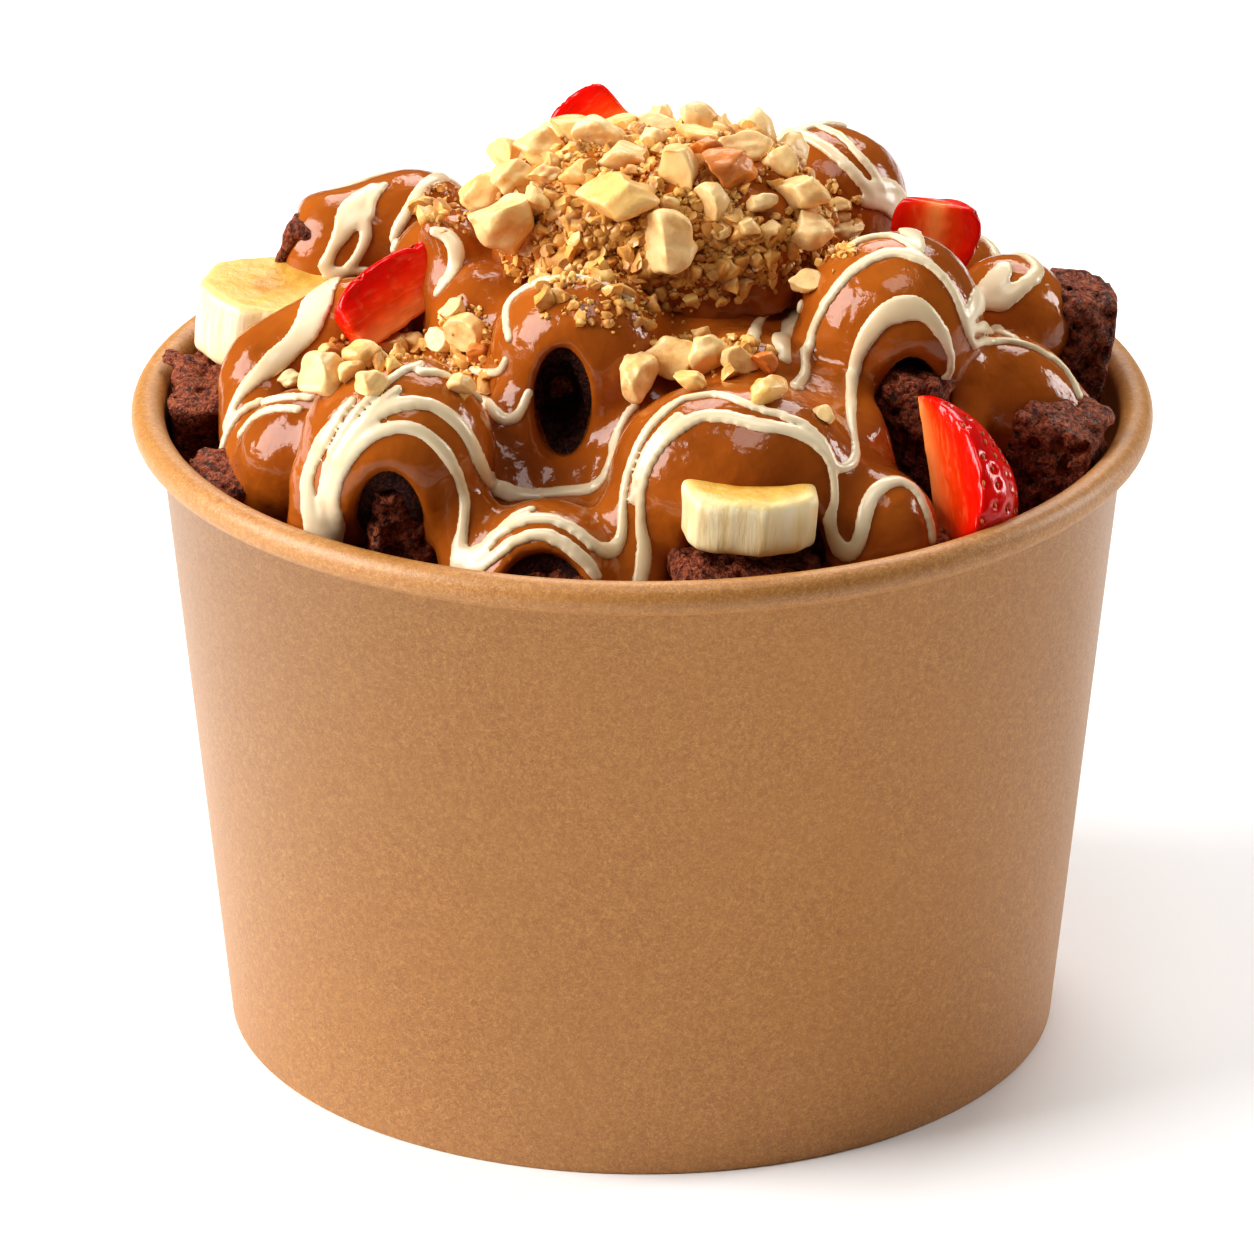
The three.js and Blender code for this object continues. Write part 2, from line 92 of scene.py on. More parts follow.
# Heap: bubbles of waffle under sauce, centre x, y, z and radius out to the sauce
BUBBLES = {
    "front_left": (-35, -42, 105, 14),
    "front_middle": (-14, -53, 89, 12.5),
    "front_right": (9.5, -44, 101, 14.2),
    "front_right_end": (18, -44, 100.5, 14),
    "middle": (-9, -22, 112, 13),
    "middle_right": (14, -25, 104, 12.5),
    "right_arch": (36, -15, 114, 13.5),
    "right_leg": (28, -33, 100, 10),
    "right_foot": (32.5, -48, 94.5, 10),
    "right": (52, -13, 100.5, 10.5),
    "right_back": (54, 6, 106.5, 9.5),
    "right_middle": (43, 17, 98, 9.5),
    "left_front": (-48.5, -27, 98, 10),
    "left_middle": (-22, -6, 110, 9.5),
    "left_shoulder": (-27, 7, 112, 11),
    "top": (1, 4, 112, 18),
    "top_back": (-5, 28, 113, 12),
    "back_right": (27, 35, 113, 13),
    "back_left": (-34, 30, 110, 10.5),
    "back_left_end": (-45, 28, 108.5, 10),
    "rear_middle": (0, 46, 103, 13.5),
    "rear_left": (-23, 50, 98, 12),
    "rear_right": (22, 54, 97, 11.5),
    "rear_right_side": (46, 34, 98, 11),
}
BUBBLE_BLEND = 4.5
LEG_BLEND = 3.0

# Legs of sauce that run down from the bubbles: both ends and radius
LEGS = [
    ((-46, -45, 101), (-47, -49, 86), 4.6),
    ((-25, -50, 98), (-23.5, -57, 84), 4.4),
    ((-1, -50, 98), (-1.5, -59, 83), 4.6),
    ((26, -48, 99), (27, -54, 84), 4.6),
    ((27, -28, 106), (29.5, -38, 93), 5.0),
    ((-18, -30, 107), (-18, -40, 96), 4.0),
    ((0, -30, 107), (-3, -40, 96), 4.0),
    ((47, -20, 106), (44, -30, 96), 4.0),
    ((-53.5, -5, 103), (-42, -1, 108), 7.5),
    ((-56, -8, 101), (-55, -26, 90), 6.0),
    ((52, -13, 101.5), (58, -14, 97), 8.5),
    ((-30.4, 0.8, 122.4), (-27.6, -0.3, 119.9), 2.2),
    ((-27.6, -0.3, 119.9), (-29.5, -2.6, 114.5), 2.2),
]

# Hollows where a bubble is torn open: centre, half sizes and lean in degrees about X
OPENINGS = [
    ((-36, -57, 94), (5.6, 10, 13), 0),
    ((-14, -64, 91), (6, 7, 6.5), 0),
    ((16.5, -60, 94.5), (10.5, 10, 10.3), 0),
    ((-11.4, -32, 109), (3.5, 10, 7.4), -15),
    ((38.5, -28, 99), (5.2, 10, 14), -10),
    ((-63, 28, 117), (11, 13, 16), 0),
]

# Torn blocks of bare waffle: middle x, y, top z, half sizes, and turns in degrees about X, Y and Z
BLOCKS = [
    ((-64, 3), 99.5, (6, 8), (10, -4, 8)),
    ((-58.5, -25.5), 97.5, (6.5, 6.5), (6, -6, 30)),
    ((-33.5, -48.5), 105.5, (6, 5), (8, 0, 15)),
    ((-13, -58), 95, (6, 5), (6, 0, -10)),
    ((14.5, -56), 96, (10.5, 7), (4, 3, 5)),
    ((-8, -20), 117, (6.5, 5), (0, 0, 0)),
    ((39, -24), 112, (5.5, 5), (0, 0, -20)),
    ((38, -51), 97, (5.5, 5.5), (5, 5, 20)),
    ((61.5, -21), 104.5, (6.5, 6), (6, 16, -14)),
    ((65, 9), 112, (4.5, 7), (0, 10, 12)),
    ((36, 33), 118, (5.5, 5), (0, 10, 30)),
    ((-49, 27), 116.5, (2.1, 6.3), (0, 20, -10)),
    ((36, 50), 101, (8, 7), (-6, 6, 35)),
    ((8, 61), 100, (8, 6), (-8, 0, -5)),
    ((-40, 47), 101, (8, 7), (-6, -6, 40)),
]
BLOCK_DEEP = 22.0  # how far a block goes down from its top
BLOCK_STEP = 0.69
BLOCK_ROOM = 2.5  # round a block for its unevenness
BLOCK_EDGE = 1.0
BLOCK_FULL = 6.0  # a block of this half width or more has the full lumps
BLOCK_SEED = 60
PORE_CELL = 1.7
PORE_LEVEL = 0.15
PORE_DEPTH = 2.4

# Dome of the heap between the bubbles: radius and z of the sauce; the bare waffle lies lower
DOME = [(0, 119.5), (18, 115.5), (30, 108.5), (44, 99), (54, 91), (60, 82), (70, 76)]
DOME_EASE = 0.8  # the dome's slope turns a height over it into about this share of a distance
BARE_DEPTH = 3.2
HEAP_FLOOR = 74.0
HEAP_BOX = ((-74, -74, HEAP_FLOOR - 2), (74, 74, 140))
HEAP_STEP = 0.88
CRUMB_BOX = ((-74, -74, HEAP_FLOOR - 2), (74, 74, 134))
CRUMB_STEP = 1.4
SAUCE_THICK = 2.4
SAUCE_TORN = 0.6  # the sauce is torn this much wider than its hollow
WAFFLE_TORN = -0.9  # and the waffle under it this much narrower
TORN_EDGE = 1.6
SAUCE_EDGE = 0.8
WAFFLE_EDGE = 1.0
WAFFLE_CLEAR = 0.4  # between the waffle and the tub's wall
SAUCE_CLEAR = 0.5

# Unevenness: the height of each layer, the size of its cells, and its own seed
SAUCE_RELIEF = [(0.35, 9, 0), (0.12, 4, 1)]
WAFFLE_RELIEF = [(0.9, 5, 2), (0.6, 2.4, 3)]
MOUND_RELIEF = [(1.0, 6, 6), (0.7, 2.4, 7)]
BLOCK_LUMPS = [(1.2, 7, 0), (0.7, 3.2, 1)]
BLOCK_GRAIN = [(0.45, 1.4, 2)]
BERRY_CUT_RELIEF = [(0.3, 3, 21), (0.12, 1.3, 22)]

# White chocolate: pixels of the photograph along each strand, with its half width in pixels
STRANDS = {
    "left_leg_outer": [
        (352, 400, 4), (342, 411, 6), (329, 430, 8), (318, 447, 10), (309, 467, 9), (306, 488, 9),
        (309, 508, 10), (316, 526, 12), (320, 545, 13),
    ],
    "left_leg_thin": [
        (421, 363, 3), (404, 369, 4), (386, 382, 4), (368, 399, 4), (352, 418, 3), (339, 438, 3),
        (329, 458, 3), (323, 478, 3), (320, 500, 4),
    ],
    "left_leg_thread": [
        (398, 388, 2), (380, 402, 2), (362, 422, 2), (347, 441, 2), (336, 462, 2), (330, 486, 2),
    ],
    "inner": [
        (332, 550, 11), (333, 532, 11), (333, 514, 10), (332, 495, 9), (337, 477, 8), (345, 461, 8),
        (356, 448, 7), (370, 436, 7), (386, 429, 7), (404, 427, 7), (420, 431, 7), (433, 440, 7),
        (445, 452, 7), (455, 468, 6), (462, 484, 6), (465, 500, 6), (464, 516, 6), (462, 532, 6),
        (459, 547, 8), (460, 562, 11),
    ],
    "saddle": [
        (322, 520, 7), (324, 500, 6), (330, 479, 6), (339, 460, 5), (350, 442, 5), (365, 424, 6),
        (382, 411, 7), (400, 404, 8), (418, 402, 8), (435, 406, 8), (449, 415, 8), (463, 428, 8),
        (474, 445, 8), (481, 461, 8), (488, 475, 9), (499, 487, 10), (513, 493, 9), (531, 493, 8),
        (551, 491, 8), (572, 490, 8), (590, 487, 8), (602, 474, 7), (608, 458, 6), (612, 441, 6),
        (618, 427, 5), (627, 413, 5), (636, 404, 3),
    ],
    "crest": [
        (421, 371, 5), (435, 371, 6), (449, 375, 5), (463, 384, 5), (475, 392, 5), (485, 402, 6),
        (495, 413, 7), (506, 419, 7), (515, 417, 6), (522, 408, 4), (528, 393, 2),
    ],
    "crest_low": [(470, 368, 3), (485, 373, 4), (498, 371, 4), (505, 361, 3)],
    "middle_high": [
        (458, 562, 10), (472, 555, 9), (485, 545, 8), (496, 535, 7), (507, 527, 7), (519, 521, 7),
        (534, 517, 7), (551, 518, 7), (567, 524, 7), (581, 533, 7), (592, 543, 8), (604, 550, 9),
        (613, 549, 8), (620, 539, 6), (622, 521, 5), (622, 500, 5), (625, 480, 5), (631, 460, 5),
        (641, 438, 5), (652, 422, 6), (665, 409, 6), (679, 400, 5), (695, 395, 5), (712, 393, 4),
        (730, 396, 4), (750, 404, 4), (770, 411, 3), (787, 416, 3), (802, 422, 3), (817, 434, 2),
        (828, 448, 2), (835, 464, 2),
    ],
    "middle_low": [
        (468, 568, 9), (482, 564, 8), (493, 556, 7), (503, 548, 7), (516, 540, 7), (531, 535, 7),
        (547, 535, 7), (561, 541, 7), (575, 551, 7), (588, 563, 7), (598, 576, 6),
    ],
    "middle_thread": [(486, 541, 2), (500, 528, 3), (516, 514, 3), (532, 508, 2)],
    "right_thread": [
        (633, 500, 2), (636, 478, 3), (643, 457, 3), (653, 440, 3), (665, 426, 3), (678, 414, 2),
    ],
    "right_low": [
        (640, 582, 8), (644, 562, 8), (644, 545, 7), (641, 529, 6), (640, 510, 5), (641, 490, 5),
        (646, 470, 6), (655, 452, 6), (667, 437, 7), (682, 424, 8), (700, 416, 8), (720, 415, 8),
        (740, 419, 8), (760, 424, 8), (780, 427, 7), (797, 431, 7), (812, 440, 6), (824, 452, 5),
        (832, 467, 4), (835, 485, 3), (835, 502, 3), (831, 516, 6), (830, 531, 7), (836, 546, 9),
        (846, 553, 9), (855, 548, 8), (861, 534, 8), (865, 515, 8), (871, 498, 8), (881, 486, 7),
        (895, 480, 7), (909, 483, 7), (920, 494, 6), (927, 510, 6), (932, 526, 6), (934, 540, 6),
    ],
    "arch": [
        (798, 384, 8), (806, 372, 6), (807, 350, 6), (811, 330, 6), (820, 311, 6), (832, 293, 6),
        (845, 277, 6), (860, 264, 7), (877, 255, 7), (895, 251, 7), (915, 255, 7), (932, 265, 6),
        (947, 280, 5), (957, 297, 4), (964, 316, 3), (970, 335, 3), (976, 346, 2),
    ],
    "arch_top": [
        (849, 245, 2), (862, 238, 3), (880, 234, 3), (895, 235, 3), (907, 241, 3), (920, 250, 2),
    ],
    "arch_low": [
        (834, 466, 4), (842, 468, 5), (853, 462, 6), (857, 448, 6), (855, 432, 6), (852, 410, 6),
        (852, 388, 6), (855, 366, 7), (860, 350, 8), (870, 332, 10), (882, 318, 12), (897, 310, 13),
        (915, 308, 12), (930, 316, 9), (942, 332, 7), (950, 350, 5), (952, 365, 4), (948, 378, 5),
        (938, 388, 5),
    ],
    "back_right": [
        (760, 133, 5), (779, 130, 6), (802, 133, 7), (825, 146, 7), (845, 163, 7), (864, 184, 6),
        (873, 197, 5),
    ],
    "back_right_side": [(822, 126, 3), (840, 134, 4), (856, 150, 4), (874, 172, 4), (884, 190, 3)],
    "right_cream": [(866, 201, 7), (884, 201, 11), (900, 212, 13), (910, 229, 12), (918, 244, 8)],
    "right_back": [(1004, 264, 7), (999, 275, 12), (988, 290, 15), (976, 306, 12), (968, 320, 7)],
    "right_back_low": [(972, 330, 5), (986, 327, 6), (1002, 330, 6), (1017, 338, 4)],
    "right_line": [
        (976, 345, 2), (990, 340, 3), (1015, 340, 3), (1040, 349, 3), (1060, 362, 3), (1074, 380, 3),
        (1081, 396, 2),
    ],
    "back_left_wide": [
        (373, 186, 7), (358, 199, 12), (350, 216, 14), (341, 234, 9), (332, 250, 7), (325, 266, 8),
    ],
    "back_left_fork": [(364, 215, 6), (366, 235, 6), (359, 254, 6), (349, 268, 6)],
    "back_left_thread": [(384, 184, 3), (373, 199, 3), (370, 216, 3)],
    "back_left": [
        (446, 174, 8), (428, 182, 8), (414, 200, 7), (404, 217, 6), (396, 232, 6), (392, 248, 5),
    ],
    "left": [
        (366, 271, 4), (350, 272, 5), (336, 276, 9), (323, 289, 14), (315, 304, 16), (310, 320, 16),
        (300, 337, 13), (285, 352, 12), (269, 366, 11), (252, 380, 9), (240, 393, 7), (231, 409, 5),
        (224, 427, 4),
    ],
    "left_front": [
        (311, 396, 4), (282, 396, 5), (258, 402, 5), (240, 412, 5), (228, 428, 5), (220, 448, 4),
    ],
    "left_front_low": [(298, 408, 2), (272, 408, 3), (252, 417, 3), (238, 434, 2)],
    "left_berry": [
        (434, 231, 5), (448, 236, 8), (456, 250, 9), (454, 266, 8), (444, 280, 7), (436, 292, 5),
    ],
    "middle": [
        (508, 338, 4), (505, 324, 5), (505, 308, 6), (513, 295, 6), (526, 286, 6), (544, 279, 5),
        (566, 276, 5), (590, 279, 4), (612, 287, 3), (632, 298, 2),
    ],
    "gap_drip": [(798, 306, 7), (787, 322, 10), (782, 340, 10), (786, 358, 7)],
    "nut_drip": [(766, 312, 4), (757, 325, 6), (752, 340, 7)],
}

# White chocolate on the far side: half width in millimetres, and x and y from above
REAR_STRANDS = {
    "rear": (1.3, [(-36, 44), (-28, 48), (-20, 44), (-10, 50), (0, 44), (10, 50), (20, 46), (30, 52)]),
    "rear_low": (1.6, [(-30, 58), (-24, 52), (-16, 56), (-6, 53), (0, 58), (10, 54), (20, 60), (28, 56)]),
    "rear_side": (1.2, [(34, 26), (40, 32), (44, 40), (52, 36), (54, 28)]),
    "rear_top": (1.0, [(-20, 32), (-10, 36), (0, 34), (10, 38), (20, 34), (30, 40)]),
    "rear_left": (1.1, [(-50, 36), (-42, 34), (-34, 38), (-28, 34), (-22, 38)]),
    "far_right": (1.2, [(54, 14), (58, 4), (52, -2), (46, 4), (44, 14)]),
}
PIXEL_MM = 0.154  # half width of a strand for each pixel of its half width in the photograph
STRAND_RISE = 0.6  # half height of a strand's section
STRAND_SEEN = 0.4  # how high over the sauce the middle of a strand is seen
STRAND_LEAST = 0.72  # half width in millimetres of the thinnest strand
STRAND_SPACING = 0.35
STRAND_STEP = 0.42
STRAND_BOX = ((-72, -72, 80), (72, 72, 134))
STRAND_BLEND = 0.3
TRACE_SPACING = 2.2  # pixels between the rays cast along a traced strand
STRAND_GAP = 6.0  # a strand isn't carried on over a wider gap
STRAND_SLOPE = 1.5  # how far the slope under a strand is taken, in steps of the grid

# Mound of chopped nuts: middle, half sizes, and the level that it is flat under
MOUND_AT = np.array([3.0, 3.0, 116.5])
MOUND_HALF = np.array([25.0, 19.0, 18.5])
MOUND_POWER = 2.8  # over 2 for a mound with steep sides and a broad top
MOUND_FLOOR = 114.0
GOLDEN_TURN = math.pi * (3 - math.sqrt(5))

# Large pieces of nut: pixel of the photograph, then size across it and down it in millimetres
LARGE_NUTS = [
    (506, 148, 7.0, 6.0), (540, 152, 7.0, 5.5), (571, 134, 6.4, 5.4), (600, 138, 7.2, 5.8),
    (628, 118, 4.3, 3.4), (658, 124, 6.8, 3.4), (696, 133, 6.4, 3.4), (746, 149, 7.2, 4.7),
    (781, 161, 5.0, 4.2), (486, 192, 7.2, 6.2), (514, 178, 6.2, 5.4), (546, 174, 5.1, 3.8),
    (578, 174, 4.7, 3.8), (622, 156, 6.4, 4.7), (652, 137, 4.7, 3.4), (676, 166, 5.8, 7.6),
    (503, 224, 8.8, 9.0), (619, 201, 10.7, 8.1), (537, 198, 4.7, 4.3), (711, 202, 4.7, 4.7),
    (761, 204, 4.3, 3.4), (802, 196, 7.2, 6.4), (809, 230, 6.4, 5.5), (669, 243, 7.0, 8.6),
    (743, 227, 4.3, 3.8), (719, 233, 3.4, 2.6), (847, 230, 4.3, 3.4), (768, 229, 3.4, 2.8),
    (669, 206, 3.4, 3.0), (837, 206, 3.8, 2.4), (722, 214, 2.6, 2.4), (805, 283, 4.7, 4.3),
    (639, 377, 5.4, 7.6), (669, 355, 7.2, 6.4), (708, 358, 6.0, 6.0), (740, 362, 5.5, 3.8),
    (690, 383, 4.3, 3.4), (769, 392, 5.5, 4.7), (700, 336, 3.0, 2.6), (822, 414, 3.4, 2.4),
    (466, 333, 5.5, 5.1), (453, 311, 3.8, 3.4), (461, 386, 3.8, 3.6), (327, 377, 7.0, 6.0),
    (366, 356, 5.5, 5.0), (391, 341, 4.8, 3.6), (413, 343, 4.4, 3.6), (440, 341, 4.4, 3.2),
    (372, 386, 4.6, 3.6), (288, 381, 3.6, 2.8), (330, 352, 3.6, 3.0), (352, 372, 4.0, 3.2),
]
# Brown pieces, in the same way
BROWN_NUTS = [(730, 170, 9.0, 6.6), (704, 150, 5.6, 4.2), (764, 365, 4.2, 3.8), (478, 352, 3.4, 3.0)]
NUT_CREASE = 40.0  # degrees
NUT_LIFT = 0.25  # how high the middle of a large piece lies over the ground, as a share of its width
CRUMB_LIFT = 0.1
NUT_GROWTH = 1.12  # a piece has worn corners, so it is made a little longer than it is seen
NUT_SLENDER = 0.8  # width of a small piece, as a share of its length
NUT_FIRST_CUT = (0.2, 0.45)  # how near to its middle a nut is first cut, as a share of its half size
NUT_CUTS = (0.45, 0.8)
NUT_WORN = 0.07  # how widely its edges are worn
NUT_WAVES = 8
NUT_RIPPLES = (3, 12)
LARGE_ROUGH = 0.03
SMALL_ROUGH = 0.07
LARGE_SEED = 10
SMALL_SEED = 30
MOUND_MARGIN = 4.0  # a piece this far out still lies on the mound

# Large nuts of the far side: number, the middle and spread of their pixels in the view from behind,
# least and greatest length, and how far back they start
REAR_NUTS = 34
REAR_NUT_SPOT = (650, 190)
REAR_NUT_SPREAD = (175, 85)
REAR_NUT_LENGTHS = (3.5, 7.5)
REAR_NUT_START = 11

# Small pieces of nut: number, level of detail, least and greatest length
SMALL_NUTS = {
    "nut_chips": (430, 2, (1.8, 4.2)),
    "nut_crumbs": (1150, 2, (0.9, 2.1)),
    "nut_grains": (2400, 1, (0.5, 1.2)),
}

# Where small pieces of nut lie: pixel across and down, spread in pixels each way, and share
CRUMB_PATCHES = [
    (640, 168, 125, 50, 0.26),
    (565, 238, 62, 52, 0.22),
    (700, 250, 95, 45, 0.26),
    (820, 225, 36, 42, 0.06),
    (620, 298, 75, 30, 0.05),
    (450, 205, 34, 26, 0.02),
    (700, 355, 62, 20, 0.05),
    (385, 350, 52, 20, 0.04),
    (466, 345, 28, 40, 0.04),
]
REAR_CRUMBS = [(640, 195, 180, 90, 1.0)]
REAR_CRUMB_START = 2
CRUMB_REACH = 66  # none lie farther out from the tub's axis

# Strawberry pieces, wedges cut lengthwise: both ends of the berry's axis, its radius, the wedge's
# angle in degrees, and the way that the middle of its skin faces
STRAWBERRIES = {
    "strawberry_front": ((42.3, -47.5, 92), (39.3, -32.5, 110), 12.3, 115, (0.99, 0.08, 0.1)),
    "strawberry_left": ((-40, -12, 108.5), (-17, 5.7, 118.4), 10.2, 90, (-0.62, 0.74, 0.26)),
    "strawberry_right": ((43.5, 16, 121), (42, 14, 107.5), 7, 170, (0.25, 0.96, -0.15)),
    "strawberry_top": ((-1.2, 15.2, 134.8), (-14, 10.6, 124), 9, 90, (-0.49, 0.85, 0.19)),
    "strawberry_rear_left": ((-38, 48, 99), (-21, 56, 101), 9.5, 110, (-0.2, 0.5, 0.85)),
    "strawberry_rear_right": ((30, 52, 98.5), (46, 43, 102), 9, 110, (0.2, 0.5, 0.84)),
}
BERRY_HULLED = 0.1  # share of a whole berry's length that is cut off with its leaves
PIP_SPACING = 2.6
PIP_ROWS = 0.86  # distance of the rows of seeds, as a share of their spacing
PIP_HALF = (0.45, 0.26, 0.18)
PIP_SUNK = 0.25
PIP_MARGIN = 0.6  # none lie nearer to a cut
PIP_STRAY = (0.025, 0.09)  # most that a seed strays, as a share of the axis, and as an angle
PIT_R = 0.45
PIT_EDGE = 0.7
BERRY_EDGE = 0.7
BERRY_END_EDGE = 0.8
FRUIT_STEP = 0.4

# Banana slices: middle, radius, thickness, how square their outline is (2 for round), half or
# whole, and turns in degrees about X, Y and Z
BANANAS = {
    "banana_left": ((-55, 13.5, 104), 11.2, 11, 2, False, (2, 6, 0)),
    "banana_front": ((14.7, -54.5, 102.3), 10, 8.5, 3, True, (3, 3, 6)),
    "banana_rear": ((3, 56, 106), 11.2, 9, 2, False, (-38, 6, 0)),
}
BANANA_FACETS = 7
BANANA_CUT = 2.0  # how far past its middle a half slice goes
BANANA_EDGE = 1.6
BANANA_CUT_EDGE = 0.8
DISH_DEPTH = 0.35  # of the shallow dish in the middle of a slice's face
DISH_R = 0.3  # as a share of the slice's radius

FAR = 9.0  # value of a field away from its surface

# Area lights: place and size in metres, and watts
LIGHTS = {
    "key": ((-0.98, -0.16, 0.7), (0.9, 0.9), 22),
    "back": ((0.1, 0.85, 0.95), (0.9, 0.6), 8),
    "front": ((0.1, -0.2, 1.25), (0.5, 0.5), 3),
    "edge": ((0.95, 0.3, 0.4), (0.3, 0.5), 4.5),
}
LIGHT_AIM = (0, 0, 0.08)
WORLD_LIGHT = 0.06
FLOOR_HALF = 4.0


def wall_outer(z):
    return BASE_R + (WALL_TOP_R - BASE_R) * z / ROLL_Z


def wall_inner(z):
    return wall_outer(z) - WALL_T


# ---------------------------------------------------------------- fields on a grid


class Spots:
    """Points, by their x, y and z."""

    def __init__(self, x, y, z):
        self.x, self.y, self.z = x, y, z


class Grid:
    """Points of a box, in millimetres."""

    def __init__(self, low, high, step):
        self.low = np.array(low, dtype=np.float32)
        self.step = step
        self.shape = tuple(int(math.ceil((b - a) / step)) + 1 for a, b in zip(low, high))
        axes = [self.low[i] + step * np.arange(n, dtype=np.float32) for i, n in enumerate(self.shape)]
        self.x = axes[0][:, None, None]
        self.y = axes[1][None, :, None]
        self.z = axes[2][None, None, :]

    def moved(self, at, turn):
        """Where the points lie once the grid is turned and moved."""
        parts = (at[i] + turn[i, 0] * self.x + turn[i, 1] * self.y + turn[i, 2] * self.z for i in range(3))
        return Spots(*parts)


def smooth_min(a, b, k):
    h = np.clip(0.5 + 0.5 * (b - a) / k, 0, 1)
    return b + (a - b) * h - k * h * (1 - h)


def smooth_max(a, b, k):
    return -smooth_min(-a, -b, k)


def grid_noise(grid, cell, seed):
    """Smooth random values from -1 to 1, with a new one every cell millimetres."""
    rng = np.random.RandomState(seed)
    counts = [int(n * grid.step / cell) + 3 for n in grid.shape]
    values = rng.uniform(-1, 1, counts).astype(np.float32)
    for axis, n in enumerate(grid.shape):
        place = np.arange(n, dtype=np.float32) * grid.step / cell
        left = place.astype(int)
        t = place - left
        t = t * t * (3 - 2 * t)
        shape = [1, 1, 1]
        shape[axis] = n
        t = t.reshape(shape)
        values = np.take(values, left, axis) * (1 - t) + np.take(values, left + 1, axis) * t
    return values


def uneven(field, grid, layers, seed=SEED):
    """The field with layers of unevenness on it."""
    for height, cell, own in layers:
        field = field + height * grid_noise(grid, cell, seed + own)
    return field


def ball_field(grid, centre, radius):
    x, y, z = centre
    return np.sqrt((grid.x - x) ** 2 + (grid.y - y) ** 2 + (grid.z - z) ** 2) - radius


def egg_field(grid, centre, half, lean):
    """Distance to an ellipsoid, good enough near its surface."""
    angle = math.radians(lean)
    dy, dz = grid.y - centre[1], grid.z - centre[2]
    x = (grid.x - centre[0]) / half[0]
    y = (dy * math.cos(angle) + dz * math.sin(angle)) / half[1]
    z = (dz * math.cos(angle) - dy * math.sin(angle)) / half[2]
    return (np.sqrt(x * x + y * y + z * z) - 1) * min(half)


def leg_field(grid, start, end, radius):
    a, b = np.array(start, float), np.array(end, float)
    along = b - a
    dx, dy, dz = grid.x - a[0], grid.y - a[1], grid.z - a[2]
    t = np.clip((dx * along[0] + dy * along[1] + dz * along[2]) / (along @ along), 0, 1)
    return np.sqrt((dx - t * along[0]) ** 2 + (dy - t * along[1]) ** 2 + (dz - t * along[2]) ** 2) - radius


def dome_field(grid, lower):
    """Height over the heap's dome, eased by the slope into a distance."""
    r = np.sqrt(grid.x**2 + grid.y**2)
    radii, heights = zip(*DOME)
    return (grid.z - np.interp(r, radii, heights) + lower) * DOME_EASE


def tub_room(grid, clear):
    """Distance out of the food's room, which is inside the tub's wall and over the heap's floor."""
    r = np.sqrt(grid.x**2 + grid.y**2)
    slope = (WALL_TOP_R - BASE_R) / ROLL_Z
    side = r - (BASE_R - WALL_T - clear) - slope * np.minimum(grid.z, ROLL_Z)
    rim = r - (ROLL_MID_R - ROLL_R - clear)
    over = np.where(grid.z > TUB_H + 2 * clear, r - (RIM_R - 1.5), np.maximum(side, rim))
    return np.maximum(over, HEAP_FLOOR - grid.z)


CORNERS = [(i, j, k) for i in (0, 1) for j in (0, 1) for k in (0, 1)]


def sample(field, grid, points):
    """A field's values between the grid's points."""
    place = np.clip((points - grid.low) / grid.step, 0, np.array(grid.shape) - 1.001)
    cell = place.astype(int)
    t = place - cell
    result = np.zeros(len(points))
    for i, j, k in CORNERS:
        weight = np.abs(1 - i - t[:, 0]) * np.abs(1 - j - t[:, 1]) * np.abs(1 - k - t[:, 2])
        result += weight * field[cell[:, 0] + i, cell[:, 1] + j, cell[:, 2] + k]
    return result


def gradient(field, grid, points, reach=0.5):
    columns = []
    for axis in range(3):
        step = np.zeros(3)
        step[axis] = reach * grid.step
        columns.append(sample(field, grid, points + step) - sample(field, grid, points - step))
    return np.stack(columns, axis=1) / (2 * reach * grid.step)


def drawn_in(points, field, grid, lift=0.0):
    """Points moved onto the surface, or to a height over it."""
    slope = gradient(field, grid, points)
    size = np.maximum((slope**2).sum(axis=1), 0.05)
    move = ((sample(field, grid, points) - lift) / size)[:, None] * slope
    return points - np.clip(move, -0.5 * grid.step, 0.5 * grid.step)


def relaxed(verts, faces):
    """Each corner moved half way to the middle of its neighbours."""
    total = np.zeros_like(verts)
    number = np.zeros(len(verts))
    for i in range(faces.shape[1]):
        a, b = faces[:, i], faces[:, (i + 1) % faces.shape[1]]
        for k in range(3):
            total[:, k] += np.bincount(a, verts[b, k], len(verts))
            total[:, k] += np.bincount(b, verts[a, k], len(verts))
        number += np.bincount(a, minlength=len(verts)) + np.bincount(b, minlength=len(verts))
    return 0.5 * verts + 0.5 * total / number[:, None]


